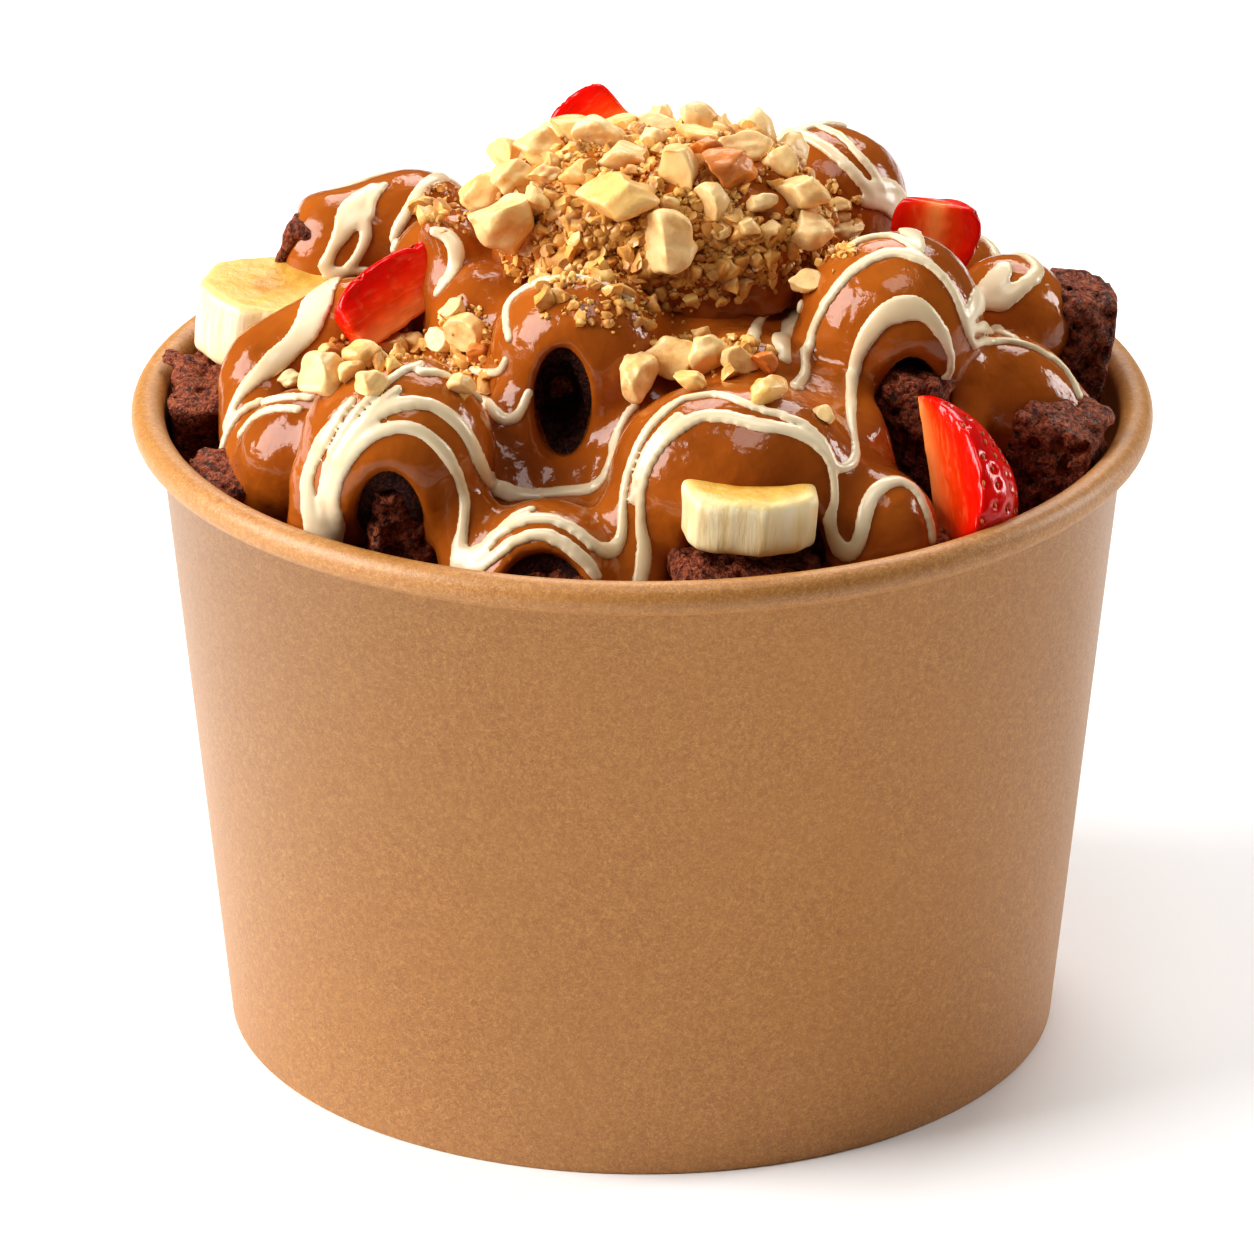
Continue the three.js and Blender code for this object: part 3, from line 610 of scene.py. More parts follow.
def surface_net(field, grid, relax=2):
    """Quads of the zero surface of a field: one corner in each cell that the surface crosses."""
    inside = field < 0
    nx, ny, nz = (n - 1 for n in grid.shape)
    count = np.zeros((nx, ny, nz), np.int8)
    for i, j, k in CORNERS:
        count += inside[i : nx + i, j : ny + j, k : nz + k]
    cells = np.argwhere((count > 0) & (count < 8))
    index = np.full((nx, ny, nz), -1, np.int64)
    index[tuple(cells.T)] = np.arange(len(cells))
    values = {c: field[cells[:, 0] + c[0], cells[:, 1] + c[1], cells[:, 2] + c[2]] for c in CORNERS}
    total = np.zeros((len(cells), 3))
    crossings = np.zeros(len(cells))
    for a in CORNERS:
        for axis in range(3):
            if a[axis]:
                continue
            b = tuple(1 if i == axis else c for i, c in enumerate(a))
            fa, fb = values[a], values[b]
            cross = (fa < 0) != (fb < 0)
            point = np.tile(np.array(a, float), (len(cells), 1))
            point[:, axis] = np.where(cross, fa / np.where(cross, fa - fb, 1), 0)
            total += point * cross[:, None]
            crossings += cross
    verts = (cells + total / crossings[:, None]) * grid.step + grid.low
    faces = []
    for axis in range(3):
        u, v = (axis + 1) % 3, (axis + 2) % 3
        low = [slice(1, n - 1) for n in grid.shape]
        low[axis] = slice(0, grid.shape[axis] - 1)
        high = list(low)
        high[axis] = slice(1, grid.shape[axis])
        first, second = inside[tuple(low)], inside[tuple(high)]
        edges = np.argwhere(first != second) + np.array([s.start for s in low])
        outward = inside[tuple(edges.T)]
        ring = []
        for du, dv in ((-1, -1), (0, -1), (0, 0), (-1, 0)):
            cell = edges.copy()
            cell[:, u] += du
            cell[:, v] += dv
            ring.append(index[tuple(cell.T)])
        quads = np.stack(ring, axis=1)
        quads[~outward] = quads[~outward][:, ::-1]
        faces.append(quads)
    faces = np.concatenate(faces)
    for _ in range(relax):
        verts = drawn_in(relaxed(verts, faces), field, grid)
    return verts, faces


# ---------------------------------------------------------------- casting onto a field


def view_rays(pixels, flip=1.0):
    """The eye, and directions from it through pixels of the photograph."""
    pixels = np.asarray(pixels, float)
    across = (pixels[:, 0] - IMAGE_PX / 2) / FOCAL_PX
    high = (IMAGE_PX / 2 - pixels[:, 1]) / FOCAL_PX
    rays = across[:, None] * VIEW_RIGHT + high[:, None] * VIEW_UP - VIEW_BACK
    rays /= np.linalg.norm(rays, axis=1)[:, None]
    return np.tile(EYE, (len(rays), 1)) * flip, rays * flip


def plan_rays(points, top=160.0):
    """Rays straight down through points given as x and y."""
    points = np.asarray(points, float)
    start = np.column_stack([points, np.full(len(points), top)])
    return start, np.tile([1e-6, 1e-6, -1.0], (len(points), 1))


def cast(field, grid, start, rays, lift=0.0, step=0.5):
    """Where rays first come as near as lift to a field's surface, or nearest, and whether they do."""
    high = grid.low + grid.step * (np.array(grid.shape) - 1)
    rays = np.where(np.abs(rays) < 1e-9, 1e-9, rays)
    lift = np.broadcast_to(lift, len(rays))
    one, other = (grid.low - start) / rays, (high - start) / rays
    near = np.minimum(one, other).max(axis=1)
    far = np.maximum(one, other).min(axis=1)
    best = near.copy()
    least = np.full(len(rays), np.inf)
    met = np.zeros(len(rays), bool)
    for i in range(int(max(0, (far - near).max()) / step) + 1):
        t = near + i * step
        live = np.flatnonzero(~met & (t < far))
        if not len(live):
            break
        value = sample(field, grid, start[live] + t[live, None] * rays[live]) - lift[live]
        closer = value < least[live]
        least[live[closer]] = value[closer]
        best[live[closer]] = t[live[closer]]
        met[live] = value < 0
    points = start + best[:, None] * rays
    for _ in range(4):
        points = drawn_in(points, field, grid, lift)
    return points, met


def unit(vectors):
    return vectors / np.maximum(np.linalg.norm(vectors, axis=1), 1e-9)[:, None]


# ---------------------------------------------------------------- meshes


def mesh_object(name, slot, node, shape, material, crease=None, **attributes):
    """A piece that stands for a node, from corners in millimetres with named values on them.

    Edges that bend by more than crease degrees are sharp.
    """
    verts, faces = shape
    mesh = bpy.data.meshes.new(name)
    verts = np.ascontiguousarray(np.asarray(verts, np.float32) * MM)
    faces = np.asarray(faces, np.int32)
    size = faces.shape[1]
    mesh.vertices.add(len(verts))
    mesh.vertices.foreach_set("co", verts.ravel())
    mesh.loops.add(faces.size)
    mesh.loops.foreach_set("vertex_index", faces.ravel())
    mesh.polygons.add(len(faces))
    mesh.polygons.foreach_set("loop_start", np.arange(0, faces.size, size, dtype=np.int32))
    mesh.update(calc_edges=True)
    mesh.materials.append(material)
    mesh.polygons.foreach_set("use_smooth", [True] * len(mesh.polygons))
    for key, values in attributes.items():
        values = np.ascontiguousarray(values, np.float32)
        kind = "FLOAT_VECTOR" if values.ndim == 2 else "FLOAT"
        layer = mesh.attributes.new(key, kind, "POINT")
        layer.data.foreach_set("vector" if values.ndim == 2 else "value", values.ravel())
    if crease:
        mesh.set_sharp_from_angle(angle=math.radians(crease))
    mesh.update()
    piece = bpy.data.objects.new(name, mesh)
    bpy.context.collection.objects.link(piece)
    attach(piece, "root")
    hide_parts(node)


def lathe(profile, sides):
    """Corners and quads of a closed profile of (radius, z) turned about the Z axis."""
    angles = 2 * np.pi * np.arange(sides) / sides
    r, z = np.array(profile, float).T
    n = len(r)
    columns = [np.outer(np.cos(angles), r), np.outer(np.sin(angles), r), np.tile(z, (sides, 1))]
    verts = np.stack(columns, axis=2).reshape(-1, 3)
    side, step = np.meshgrid(np.arange(sides), np.arange(n), indexing="ij")
    here, there = side * n, (side + 1) % sides * n
    after = (step + 1) % n
    faces = np.stack([here + step, there + step, there + after, here + after], axis=2)
    return verts, faces.reshape(-1, 4)


def ball_mesh(level):
    """Corners and triangles of a ball of radius 1."""
    shape = bmesh.new()
    bmesh.ops.create_icosphere(shape, subdivisions=level, radius=1.0)
    verts = np.array([v.co[:] for v in shape.verts])
    faces = np.array([[v.index for v in f.verts] for f in shape.faces])
    shape.free()
    return verts, faces


def random_turns(rng, count):
    """Rotation matrices spread evenly over all turns."""
    q = unit(rng.normal(size=(count, 4)))
    w, x, y, z = q.T
    rows = [
        [1 - 2 * (y * y + z * z), 2 * (x * y - z * w), 2 * (x * z + y * w)],
        [2 * (x * y + z * w), 1 - 2 * (x * x + z * z), 2 * (y * z - x * w)],
        [2 * (x * z - y * w), 2 * (y * z + x * w), 1 - 2 * (x * x + y * y)],
    ]
    return np.array(rows).transpose(2, 0, 1)


def euler_matrix(turn):
    """The rotation matrix of turns in degrees about X, then Y, then Z."""
    a, b, c = (math.radians(t) for t in turn)
    about_x = np.array([[1, 0, 0], [0, math.cos(a), -math.sin(a)], [0, math.sin(a), math.cos(a)]])
    about_y = np.array([[math.cos(b), 0, math.sin(b)], [0, 1, 0], [-math.sin(b), 0, math.cos(b)]])
    about_z = np.array([[math.cos(c), -math.sin(c), 0], [math.sin(c), math.cos(c), 0], [0, 0, 1]])
    return about_z @ about_y @ about_x


def across_turns(rng, count):
    """Rotation matrices that keep a piece's length near the X axis."""
    most = [180, 20, 25]
    return np.array([euler_matrix(turn) for turn in rng.uniform(-1, 1, (count, 3)) * most])


def chopped_nut(rng, level, cuts, rough):
    """A ball cut flat on some sides with worn edges, and an uneven surface."""
    verts, faces = ball_mesh(level)
    for i in range(cuts):
        way = unit(rng.normal(size=(1, 3)))[0]
        depth = rng.uniform(*(NUT_CUTS if i else NUT_FIRST_CUT))
        over = NUT_WORN * np.log1p(np.exp((verts @ way - depth) / NUT_WORN))
        verts -= over[:, None] * way
    for _ in range(NUT_WAVES):
        wave = unit(rng.normal(size=(1, 3)))[0] * rng.uniform(*NUT_RIPPLES)
        verts *= (1 + rough * np.sin(verts @ wave + rng.uniform(0, 6)))[:, None]
    middle = (verts.max(axis=0) + verts.min(axis=0)) / 2
    return (verts - middle) / (np.ptp(verts, axis=0) / 2), faces


def scattered(rng, kinds, places, halves, turns):
    """One mesh of many pieces: a random kind at each place, with its half sizes and turn."""
    all_verts, all_faces, tones, lengths = [], [], [], 0
    chosen = rng.randint(len(kinds), size=len(places))
    for k, (verts, faces) in enumerate(kinds):
        picked = np.flatnonzero(chosen == k)
        shaped = verts[None] * halves[picked][:, None]
        turned = np.einsum("nij,nvj->nvi", turns[picked], shaped) + places[picked][:, None]
        offsets = lengths + len(verts) * np.arange(len(picked))
        all_verts.append(turned.reshape(-1, 3))
        all_faces.append((faces[None] + offsets[:, None, None]).reshape(-1, 3))
        tones.append(np.repeat(rng.uniform(0, 1, len(picked)), len(verts)))
        lengths += len(verts) * len(picked)
    return np.concatenate(all_verts), np.concatenate(all_faces), np.concatenate(tones)


# ---------------------------------------------------------------- materials


def srgb(r, g, b):
    """A colour as seen, 0 to 255, as the linear colour that a shader takes."""

    def linear(c):
        c /= 255
        return c / 12.92 if c <= 0.04045 else ((c + 0.055) / 1.055) ** 2.4

    return (linear(r), linear(g), linear(b), 1.0)


class Nodes:
    """Short ways to make and join the nodes of one material."""

    def __init__(self, name):
        self.material = bpy.data.materials.new(name)
        self.material.use_nodes = True
        self.tree = self.material.node_tree
        self.shader = self.tree.nodes["Principled BSDF"]

    def feed(self, socket, value):
        if isinstance(value, bpy.types.NodeSocket):
            self.tree.links.new(value, socket)
        else:
            socket.default_value = value

    def place(self):
        return self.tree.nodes.new("ShaderNodeTexCoord").outputs["Object"]

    def attribute(self, name, output="Fac"):
        node = self.tree.nodes.new("ShaderNodeAttribute")
        node.attribute_name = name
        return node.outputs[output]

    def noise(self, place, scale, detail=2.0, rough=0.5, distortion=0.0):
        node = self.tree.nodes.new("ShaderNodeTexNoise")
        self.feed(node.inputs["Vector"], place)
        self.feed(node.inputs["Scale"], scale)
        self.feed(node.inputs["Detail"], detail)
        self.feed(node.inputs["Roughness"], rough)
        self.feed(node.inputs["Distortion"], distortion)
        return node.outputs["Fac"]

    def ridge(self, place, scale, detail=1.0):
        """0 along thin winding lines, and rising to both sides of them."""
        return self.math("ABSOLUTE", self.math("SUBTRACT", self.noise(place, scale, detail), 0.5))

    def stretched(self, place, scale):
        node = self.tree.nodes.new("ShaderNodeMapping")
        self.feed(node.inputs["Vector"], place)
        self.feed(node.inputs["Scale"], scale)
        return node.outputs["Vector"]

    def ramp(self, fac, *stops):
        """Stops are (place, colour) pairs."""
        node = self.tree.nodes.new("ShaderNodeValToRGB")
        self.feed(node.inputs["Fac"], fac)
        elements = node.color_ramp.elements
        while len(elements) < len(stops):
            elements.new(0.5)
        for element, (place, colour) in zip(elements, stops):
            element.position = place
            element.color = colour
        return node.outputs["Color"]

    def step(self, fac, low, high):
        """0 at low, 1 at high, and even between."""
        node = self.tree.nodes.new("ShaderNodeMapRange")
        self.feed(node.inputs["Value"], fac)
        self.feed(node.inputs["From Min"], low)
        self.feed(node.inputs["From Max"], high)
        return node.outputs["Result"]

    def mix(self, fac, a, b, blend="MIX"):
        node = self.tree.nodes.new("ShaderNodeMix")
        node.data_type = "RGBA"
        node.blend_type = blend
        self.feed(node.inputs[0], fac)
        self.feed(node.inputs[6], a)
        self.feed(node.inputs[7], b)
        return node.outputs[2]

    def math(self, operation, a, b=0.0):
        node = self.tree.nodes.new("ShaderNodeMath")
        node.operation = operation
        self.feed(node.inputs[0], a)
        self.feed(node.inputs[1], b)
        return node.outputs[0]

    def bump(self, height, distance, strength=1.0, under=None):
        node = self.tree.nodes.new("ShaderNodeBump")
        self.feed(node.inputs["Height"], height)
        self.feed(node.inputs["Distance"], distance)
        self.feed(node.inputs["Strength"], strength)
        if under:
            self.feed(node.inputs["Normal"], under)
        return node.outputs["Normal"]

    def tint(self, base, fac, low, high, share, colour):
        """The base, with a share of another colour where fac comes from low to high."""
        return self.mix(self.math("MULTIPLY", self.step(fac, low, high), share), base, colour)

    def finish(self, soft=None, **inputs):
        """The material, with its shader's values, and soft for the weight and radius of its depth."""
        if soft:
            weight, radius = soft
            inputs.update(Subsurface_Weight=weight, Subsurface_Radius=radius, Subsurface_Scale=1.0)
        for key, value in inputs.items():
            self.feed(self.shader.inputs[key.replace("_", " ")], value)
        return self.material


def kraft_material():
    n = Nodes("kraft_board")
    place = n.place()
    cloud = n.noise(place, 70, detail=3)
    line = n.ridge(place, 1500, detail=1)
    fibre = n.ridge(n.stretched(place, (1, 1, 1.5)), 2300, detail=1)
    grain = n.noise(place, 1100, detail=2, distortion=0.8)
    base = n.ramp(grain, (0.3, srgb(166, 109, 49)), (0.5, srgb(178, 121, 58)), (0.7, srgb(192, 136, 71)))
    base = n.tint(base, fibre, 0.06, 0.0, 0.5, srgb(144, 89, 37))
    base = n.tint(base, line, 0.045, 0.0, 0.45, srgb(222, 172, 108))
    base = n.tint(base, cloud, 0.35, 0.7, 0.25, srgb(184, 127, 62))
    bump = n.bump(grain, 0.00014, 0.5, under=n.bump(fibre, 0.00012, 0.6))
    return n.finish(
        Base_Color=base,
        Roughness=0.5,
        Normal=bump,
        Specular_IOR_Level=0.6,
        Coat_Weight=0.25,
        Coat_Roughness=0.35,
    )


def sauce_material():
    n = Nodes("milk_chocolate_sauce")
    place = n.place()
    cloud = n.noise(place, 45, detail=4, rough=0.6)
    base = n.ramp(cloud, (0.3, srgb(142, 73, 20)), (0.5, srgb(164, 88, 26)), (0.72, srgb(182, 103, 35)))
    wave = n.noise(place, 110, detail=3)
    fine = n.noise(place, 420, detail=3)
    bump = n.bump(fine, 0.0003, 0.6, under=n.bump(wave, 0.0016, 0.5))
    return n.finish(
        Base_Color=base,
        Roughness=0.13,
        Normal=bump,
        Specular_IOR_Level=0.4,
        soft=(0.12, (0.0016, 0.0008, 0.0004)),
    )


def strand_material():
    n = Nodes("white_chocolate")
    place = n.place()
    cloud = n.noise(place, 80, detail=3)
    base = n.ramp(cloud, (0.3, srgb(220, 194, 154)), (0.6, srgb(236, 216, 182)))
    bump = n.bump(n.noise(place, 400), 0.00015, 0.2)
    return n.finish(
        Base_Color=base,
        Roughness=0.24,
        Normal=bump,
        soft=(0.15, (0.002, 0.0012, 0.0006)),
    )


def waffle_material(name, dark, middle, pale):
    """Torn chocolate waffle: a crumb of fine pores, tinted dark as painted shade inside the holes, with
    thin pale webs between them.
    """
    n = Nodes(name)
    place = n.place()
    grain = n.noise(place, 1300, detail=4, rough=0.7)
    web = n.ridge(place, 620, detail=3)
    pores_with_painted_shade = n.noise(place, 900, detail=2)
    cloud = n.noise(place, 120, detail=3)
    base = n.ramp(grain, (0.3, dark), (0.48, middle), (0.68, pale))
    base = n.mix(n.math("MULTIPLY", cloud, 0.35), base, middle)
    base = n.tint(base, web, 0.05, 0.0, 0.55, pale)
    # Painted shade: the pores are tinted dark, as if shaded inside; the same pattern also bumps the
    # surface.
    base = n.tint(base, pores_with_painted_shade, 0.48, 0.34, 0.85, dark)
    bump = n.bump(grain, 0.0008, 1.0, under=n.bump(web, 0.0016, 0.9, under=n.bump(pores_with_painted_shade, 0.001, 0.8)))
    rough = n.ramp(n.noise(place, 700), (0.42, (0.25, 0.25, 0.25, 1)), (0.58, (0.8, 0.8, 0.8, 1)))
    return n.finish(Base_Color=base, Roughness=rough, Normal=bump, Specular_IOR_Level=0.35)


def nut_material(name, pale, deep, brown, browned):
    """Chopped nut: pale to deep by the piece, with browner bits of skin over a share of it."""
    n = Nodes(name)
    place = n.place()
    shade = n.noise(place, 130, detail=2)
    tone = n.math("MULTIPLY", n.math("ADD", n.attribute("tone"), n.step(shade, 0.35, 0.65)), 0.5)
    base = n.mix(tone, pale, deep)
    patch = n.noise(place, 260, detail=4, rough=0.6)
    base = n.tint(base, patch, 0.5, 0.68, browned, brown)
    fine = n.noise(place, 900, detail=3)
    base = n.tint(base, fine, 0.35, 0.75, 0.25, pale)
    bump = n.bump(n.noise(place, 700, detail=4, rough=0.6), 0.0003, 0.6)
    return n.finish(
        Base_Color=base,
        Roughness=0.32,
        Normal=bump,
        soft=(0.15, (0.002, 0.001, 0.0003)),
    )


def berry_material():
    n = Nodes("strawberry_flesh")
    local = n.attribute("local", "Vector")
    depth = n.attribute("depth")
    streak = n.noise(n.stretched(local, (300, 1100, 1100)), 1.0, detail=3, distortion=0.4)
    skin = n.ramp(n.noise(n.place(), 160, detail=3), (0.3, srgb(186, 4, 2)), (0.7, srgb(226, 14, 5)))
    flesh = [
        (0.0, srgb(222, 8, 2)),
        (0.28, srgb(237, 30, 5)),
        (0.62, srgb(246, 76, 17)),
        (0.96, srgb(252, 150, 82)),
    ]
    flesh = n.ramp(depth, *flesh)
    pale = n.math("MULTIPLY", n.step(streak, 0.54, 0.7), n.step(depth, 0.1, 0.6))
    flesh = n.mix(n.math("MULTIPLY", pale, 0.4), flesh, srgb(250, 146, 92))
    base = n.mix(n.attribute("cut"), skin, flesh)
    bump = n.bump(streak, 0.0003, 0.4)
    return n.finish(
        Base_Color=base,
        Roughness=0.16,
        Normal=bump,
        Specular_IOR_Level=0.45,
        soft=(0.12, (0.003, 0.0006, 0.0003)),
    )


def seed_material():
    n = Nodes("strawberry_seed")
    tone = n.noise(n.place(), 300)
    base = n.ramp(tone, (0.3, srgb(150, 60, 10)), (0.7, srgb(206, 116, 30)))
    return n.finish(Base_Color=base, Roughness=0.35)


def banana_material():
    n = Nodes("banana_flesh")
    local = n.attribute("local", "Vector")
    face = n.attribute("face")
    spread = n.attribute("depth")
    grain = n.noise(n.stretched(local, (700, 700, 90)), 1.0, detail=4, rough=0.6)
    side = [(0.32, srgb(236, 210, 150)), (0.5, srgb(243, 222, 172)), (0.68, srgb(248, 232, 196))]
    flat = [
        (0.0, srgb(196, 132, 34)),
        (0.22, srgb(210, 150, 46)),
        (0.45, srgb(222, 168, 64)),
        (0.8, srgb(228, 180, 84)),
        (1.0, srgb(240, 212, 146)),
    ]
    side, flat = n.ramp(grain, *side), n.ramp(spread, *flat)
    mottle = n.noise(n.stretched(local, (900, 900, 900)), 1.0, detail=3)
    flat = n.tint(flat, mottle, 0.45, 0.75, 0.35, srgb(240, 212, 136))
    base = n.mix(face, side, flat)
    bump = n.bump(grain, 0.0004, 0.6)
    return n.finish(
        Base_Color=base,
        Roughness=0.38,
        Normal=bump,
        soft=(0.15, (0.002, 0.0014, 0.0006)),
    )


# ---------------------------------------------------------------- tub


def build_tub_wall(material):
    meet = wall_outer(ROLL_Z - ROLL_MEETS * ROLL_R)
    start = -math.acos((meet - ROLL_MID_R) / ROLL_R)
    angles = [start + (math.pi - start) * i / ROLL_STEPS for i in range(ROLL_STEPS + 1)]
    roll = [(ROLL_MID_R + ROLL_R * math.cos(a), ROLL_Z + ROLL_R * math.sin(a)) for a in angles]
    foot = BASE_R - WALL_T - FOLD_T
    profile = [
        (BASE_R - TUB_EDGE, 0),
        (BASE_R, TUB_EDGE),
        *roll,
        (wall_inner(ROLL_Z - ROLL_R), ROLL_Z - ROLL_R),
        (wall_inner(FOOT_H - TUB_GAP), FOOT_H - TUB_GAP),
        (foot, FOOT_H - TUB_GAP),
        (foot, TUB_EDGE),
        (foot + TUB_EDGE, 0),
    ]
    mesh_object("tub_wall", "kraft", "cup_wall", lathe(profile, TUB_SIDES), material)


def build_tub_base(material):
    rim = wall_inner(FOOT_H) - TUB_GAP
    disc = [(AXIS_R, FOOT_H), (rim, FOOT_H), (rim, FOOT_H + BASE_T), (AXIS_R, FOOT_H + BASE_T)]
    mesh_object("tub_base", "kraft", "cup_base", lathe(disc, TUB_SIDES), material)


# ---------------------------------------------------------------- heap


def draped_field(grid):
    """Sauce over the bubbles and down between them, before it is torn open."""
    field = dome_field(grid, 0)
    for x, y, z, r in BUBBLES.values():
        field = smooth_min(field, ball_field(grid, (x, y, z), r), BUBBLE_BLEND)
    for start, end, r in LEGS:
        field = smooth_min(field, leg_field(grid, start, end, r), LEG_BLEND)
    return field


def torn_field(grid, grow):
    """The hollows, bigger by so much."""
    field = None
    for centre, half, lean in OPENINGS:
        one = egg_field(grid, centre, [max(h + grow, 0.5) for h in half], lean)
        field = one if field is None else np.minimum(field, one)
    return field


def sauce_field(grid, draped):
    field = uneven(draped, grid, SAUCE_RELIEF)
    field = smooth_max(field, -torn_field(grid, SAUCE_TORN), TORN_EDGE)
    return smooth_max(field, tub_room(grid, SAUCE_CLEAR), SAUCE_EDGE)


def waffle_field(grid, draped):
    """The waffle under the sauce, bare where it is torn open."""
    inner = smooth_max(draped + SAUCE_THICK, -torn_field(grid, WAFFLE_TORN), WAFFLE_EDGE)
    field = smooth_min(inner, dome_field(grid, BARE_DEPTH), WAFFLE_EDGE)
    return np.maximum(uneven(field, grid, WAFFLE_RELIEF), tub_room(grid, WAFFLE_CLEAR))


def waffle_filling():
    """Corners and quads of the waffle down in the tub."""
    low, high = FOOT_H + 1.5, HEAP_FLOOR + 2
    wide = [wall_inner(z) - FILLING_CLEAR for z in (low, high)]
    return lathe([(AXIS_R, low), (wide[0], low), (wide[1], high), (AXIS_R, high)], FILLING_SIDES)


def build_waffle(grid, field, material):
    verts, faces = surface_net(field, grid, relax=1)
    more_verts, more_faces = waffle_filling()
    verts = np.vstack([verts, more_verts])
    faces = np.vstack([faces, more_faces + len(verts) - len(more_verts)])
    mesh_object("waffle_crumb_painted_shade", "waffle", "waffle", (verts, faces), material)


def block_mesh(at, top, half, turn, seed):
    """Corners and quads of a torn block, crumbly and full of pores."""
    wide, long = half[0] + BLOCK_ROOM, half[1] + BLOCK_ROOM
    grid = Grid((-wide, -long, -BLOCK_DEEP), (wide, long, BLOCK_ROOM), BLOCK_STEP)
    matrix = euler_matrix(turn)
    qx = np.abs(grid.x) - half[0] + BLOCK_EDGE
    qy = np.abs(grid.y) - half[1] + BLOCK_EDGE
    qz = np.abs(grid.z + BLOCK_DEEP / 2) - BLOCK_DEEP / 2 + BLOCK_ROOM / 2 + BLOCK_EDGE
    out = np.sqrt(np.maximum(qx, 0) ** 2 + np.maximum(qy, 0) ** 2 + np.maximum(qz, 0) ** 2)
    field = out + np.minimum(np.maximum(np.maximum(qx, qy), qz), 0) - BLOCK_EDGE
    field = field + min(1, min(half) / BLOCK_FULL) * uneven(0, grid, BLOCK_LUMPS, seed)
    field = uneven(field, grid, BLOCK_GRAIN, seed)
    field = field + PORE_DEPTH * np.maximum(grid_noise(grid, PORE_CELL, seed + 3) - PORE_LEVEL, 0)
    place = np.array([at[0], at[1], top])
    field = np.maximum(field, tub_room(grid.moved(place, matrix), WAFFLE_CLEAR))
    verts, faces = surface_net(field, grid, relax=0)
    return place + verts @ matrix.T, faces


def build_blocks(material):
    all_verts, all_faces, count = [], [], 0
    for i, block in enumerate(BLOCKS):
        verts, faces = block_mesh(*block, SEED + BLOCK_SEED + 5 * i)
        all_verts.append(verts)
        all_faces.append(faces + count)
        count += len(verts)
    shape = np.vstack(all_verts), np.vstack(all_faces)
    mesh_object("waffle_blocks", "waffle", "waffle", shape, material)


# ---------------------------------------------------------------- white chocolate


def smooth_path(points, spacing):
    """Points along a smooth curve through the given ones, evenly spaced."""
    points = np.asarray(points, float)
    ends = np.vstack([2 * points[0] - points[1], points, 2 * points[-1] - points[-2]])
    t = np.linspace(0, 1, 24, endpoint=False)[:, None]
    pieces = []
    for a, b, c, d in zip(ends, ends[1:], ends[2:], ends[3:]):
        bend = (2 * a - 5 * b + 4 * c - d) * t**2 + (3 * b - a - 3 * c + d) * t**3
        pieces.append(0.5 * (2 * b + (c - a) * t + bend))
    path = np.vstack(pieces + [points[-1:]])
    run = np.concatenate([[0], np.cumsum(np.linalg.norm(np.diff(path, axis=0), axis=1))])
    marks = np.linspace(0, run[-1], int(run[-1] / spacing) + 2)
    return np.column_stack([np.interp(marks, run, path[:, i]) for i in range(path.shape[1])])


def filled(points, spacing, widest):
    """The same run of points with more between those that lie apart, but not over wide gaps."""
    out = [points[:1]]
    for a, b in zip(points, points[1:]):
        gap = np.linalg.norm((b - a)[:3])
        if gap > widest:
            out.append(b[None])
            continue
        parts = max(1, int(math.ceil(gap / spacing)))
        t = (np.arange(parts) + 1)[:, None] / parts
        out.append(a + (b - a) * t)
    return np.vstack(out)


def strand_field(grid, points, normals, widths):
    """Distance to a flattened rope along points that lie on a surface, as slices and values."""
    reach = widths.max() + 1.5
    low = np.maximum(((points.min(axis=0) - reach - grid.low) / grid.step).astype(int), 0)
    high = ((points.max(axis=0) + reach - grid.low) / grid.step).astype(int) + 1
    high = np.minimum(high, np.array(grid.shape))
    field = np.full(tuple(high - low), FAR, np.float32)
    span = int(math.ceil(reach / grid.step))
    for point, normal, width in zip(points, normals, widths):
        cell = ((point - grid.low) / grid.step).astype(int)
        a = np.maximum(cell - span, low)
        b = np.minimum(cell + span + 2, high)
        if (b <= a).any():
            continue
        dx = grid.x[a[0] : b[0]] - point[0]
        dy = grid.y[:, a[1] : b[1]] - point[1]
        dz = grid.z[:, :, a[2] : b[2]] - point[2]
        up = dx * normal[0] + dy * normal[1] + dz * normal[2]
        side = np.maximum(dx * dx + dy * dy + dz * dz - up * up, 0)
        rise = min(STRAND_RISE, width)
        near = (np.sqrt(side / width**2 + up * up / rise**2) - 1) * rise
        part = tuple(slice(i - l, j - l) for i, j, l in zip(a, b, low))
        field[part] = np.minimum(field[part], near)
    return tuple(slice(i, j) for i, j in zip(low, high)), field


def all_strands(ground, ground_grid):
    """Points, normals and half widths of each strand where it lies on the sauce."""
    runs = []
    for traced in STRANDS.values():
        path = smooth_path(traced, TRACE_SPACING)
        runs.append((np.maximum(path[:, 2] * PIXEL_MM, STRAND_LEAST), view_rays(path)))
    for width, plan in REAR_STRANDS.values():
        path = smooth_path(plan, STRAND_SPACING)
        runs.append((np.full(len(path), width), plan_rays(path)))
    rng = np.random.RandomState(SEED)
    for widths, (start, rays) in runs:
        points, met = cast(ground, ground_grid, start, rays, STRAND_SEEN)
        run = np.column_stack([points, widths])[met]
        if len(run) < 4:
            continue
        run = filled(run, STRAND_SPACING, STRAND_GAP)
        points = run[:, :3]
        for _ in range(3):
            points = drawn_in(points, ground, ground_grid)
        normals = unit(gradient(ground, ground_grid, points, reach=STRAND_SLOPE))
        along = np.arange(len(points)) * STRAND_SPACING
        # A strand swells and thins along its length
        swell = 1 + 0.05 * np.sin(along / rng.uniform(2.5, 4) + rng.uniform(0, 6))
        swell += 0.04 * np.sin(along / 1.3 + rng.uniform(0, 6))
        yield points, normals, run[:, 3] * swell


def build_strands(grid, ground, ground_grid, material):
    field = np.full(grid.shape, FAR, np.float32)
    for points, normals, widths in all_strands(ground, ground_grid):
        part, near = strand_field(grid, points, normals, widths)
        field[part] = smooth_min(field[part], near, STRAND_BLEND)
    mesh_object("white_chocolate_strands", "sauce", "sauce", surface_net(field, grid), material)


# ---------------------------------------------------------------- nuts


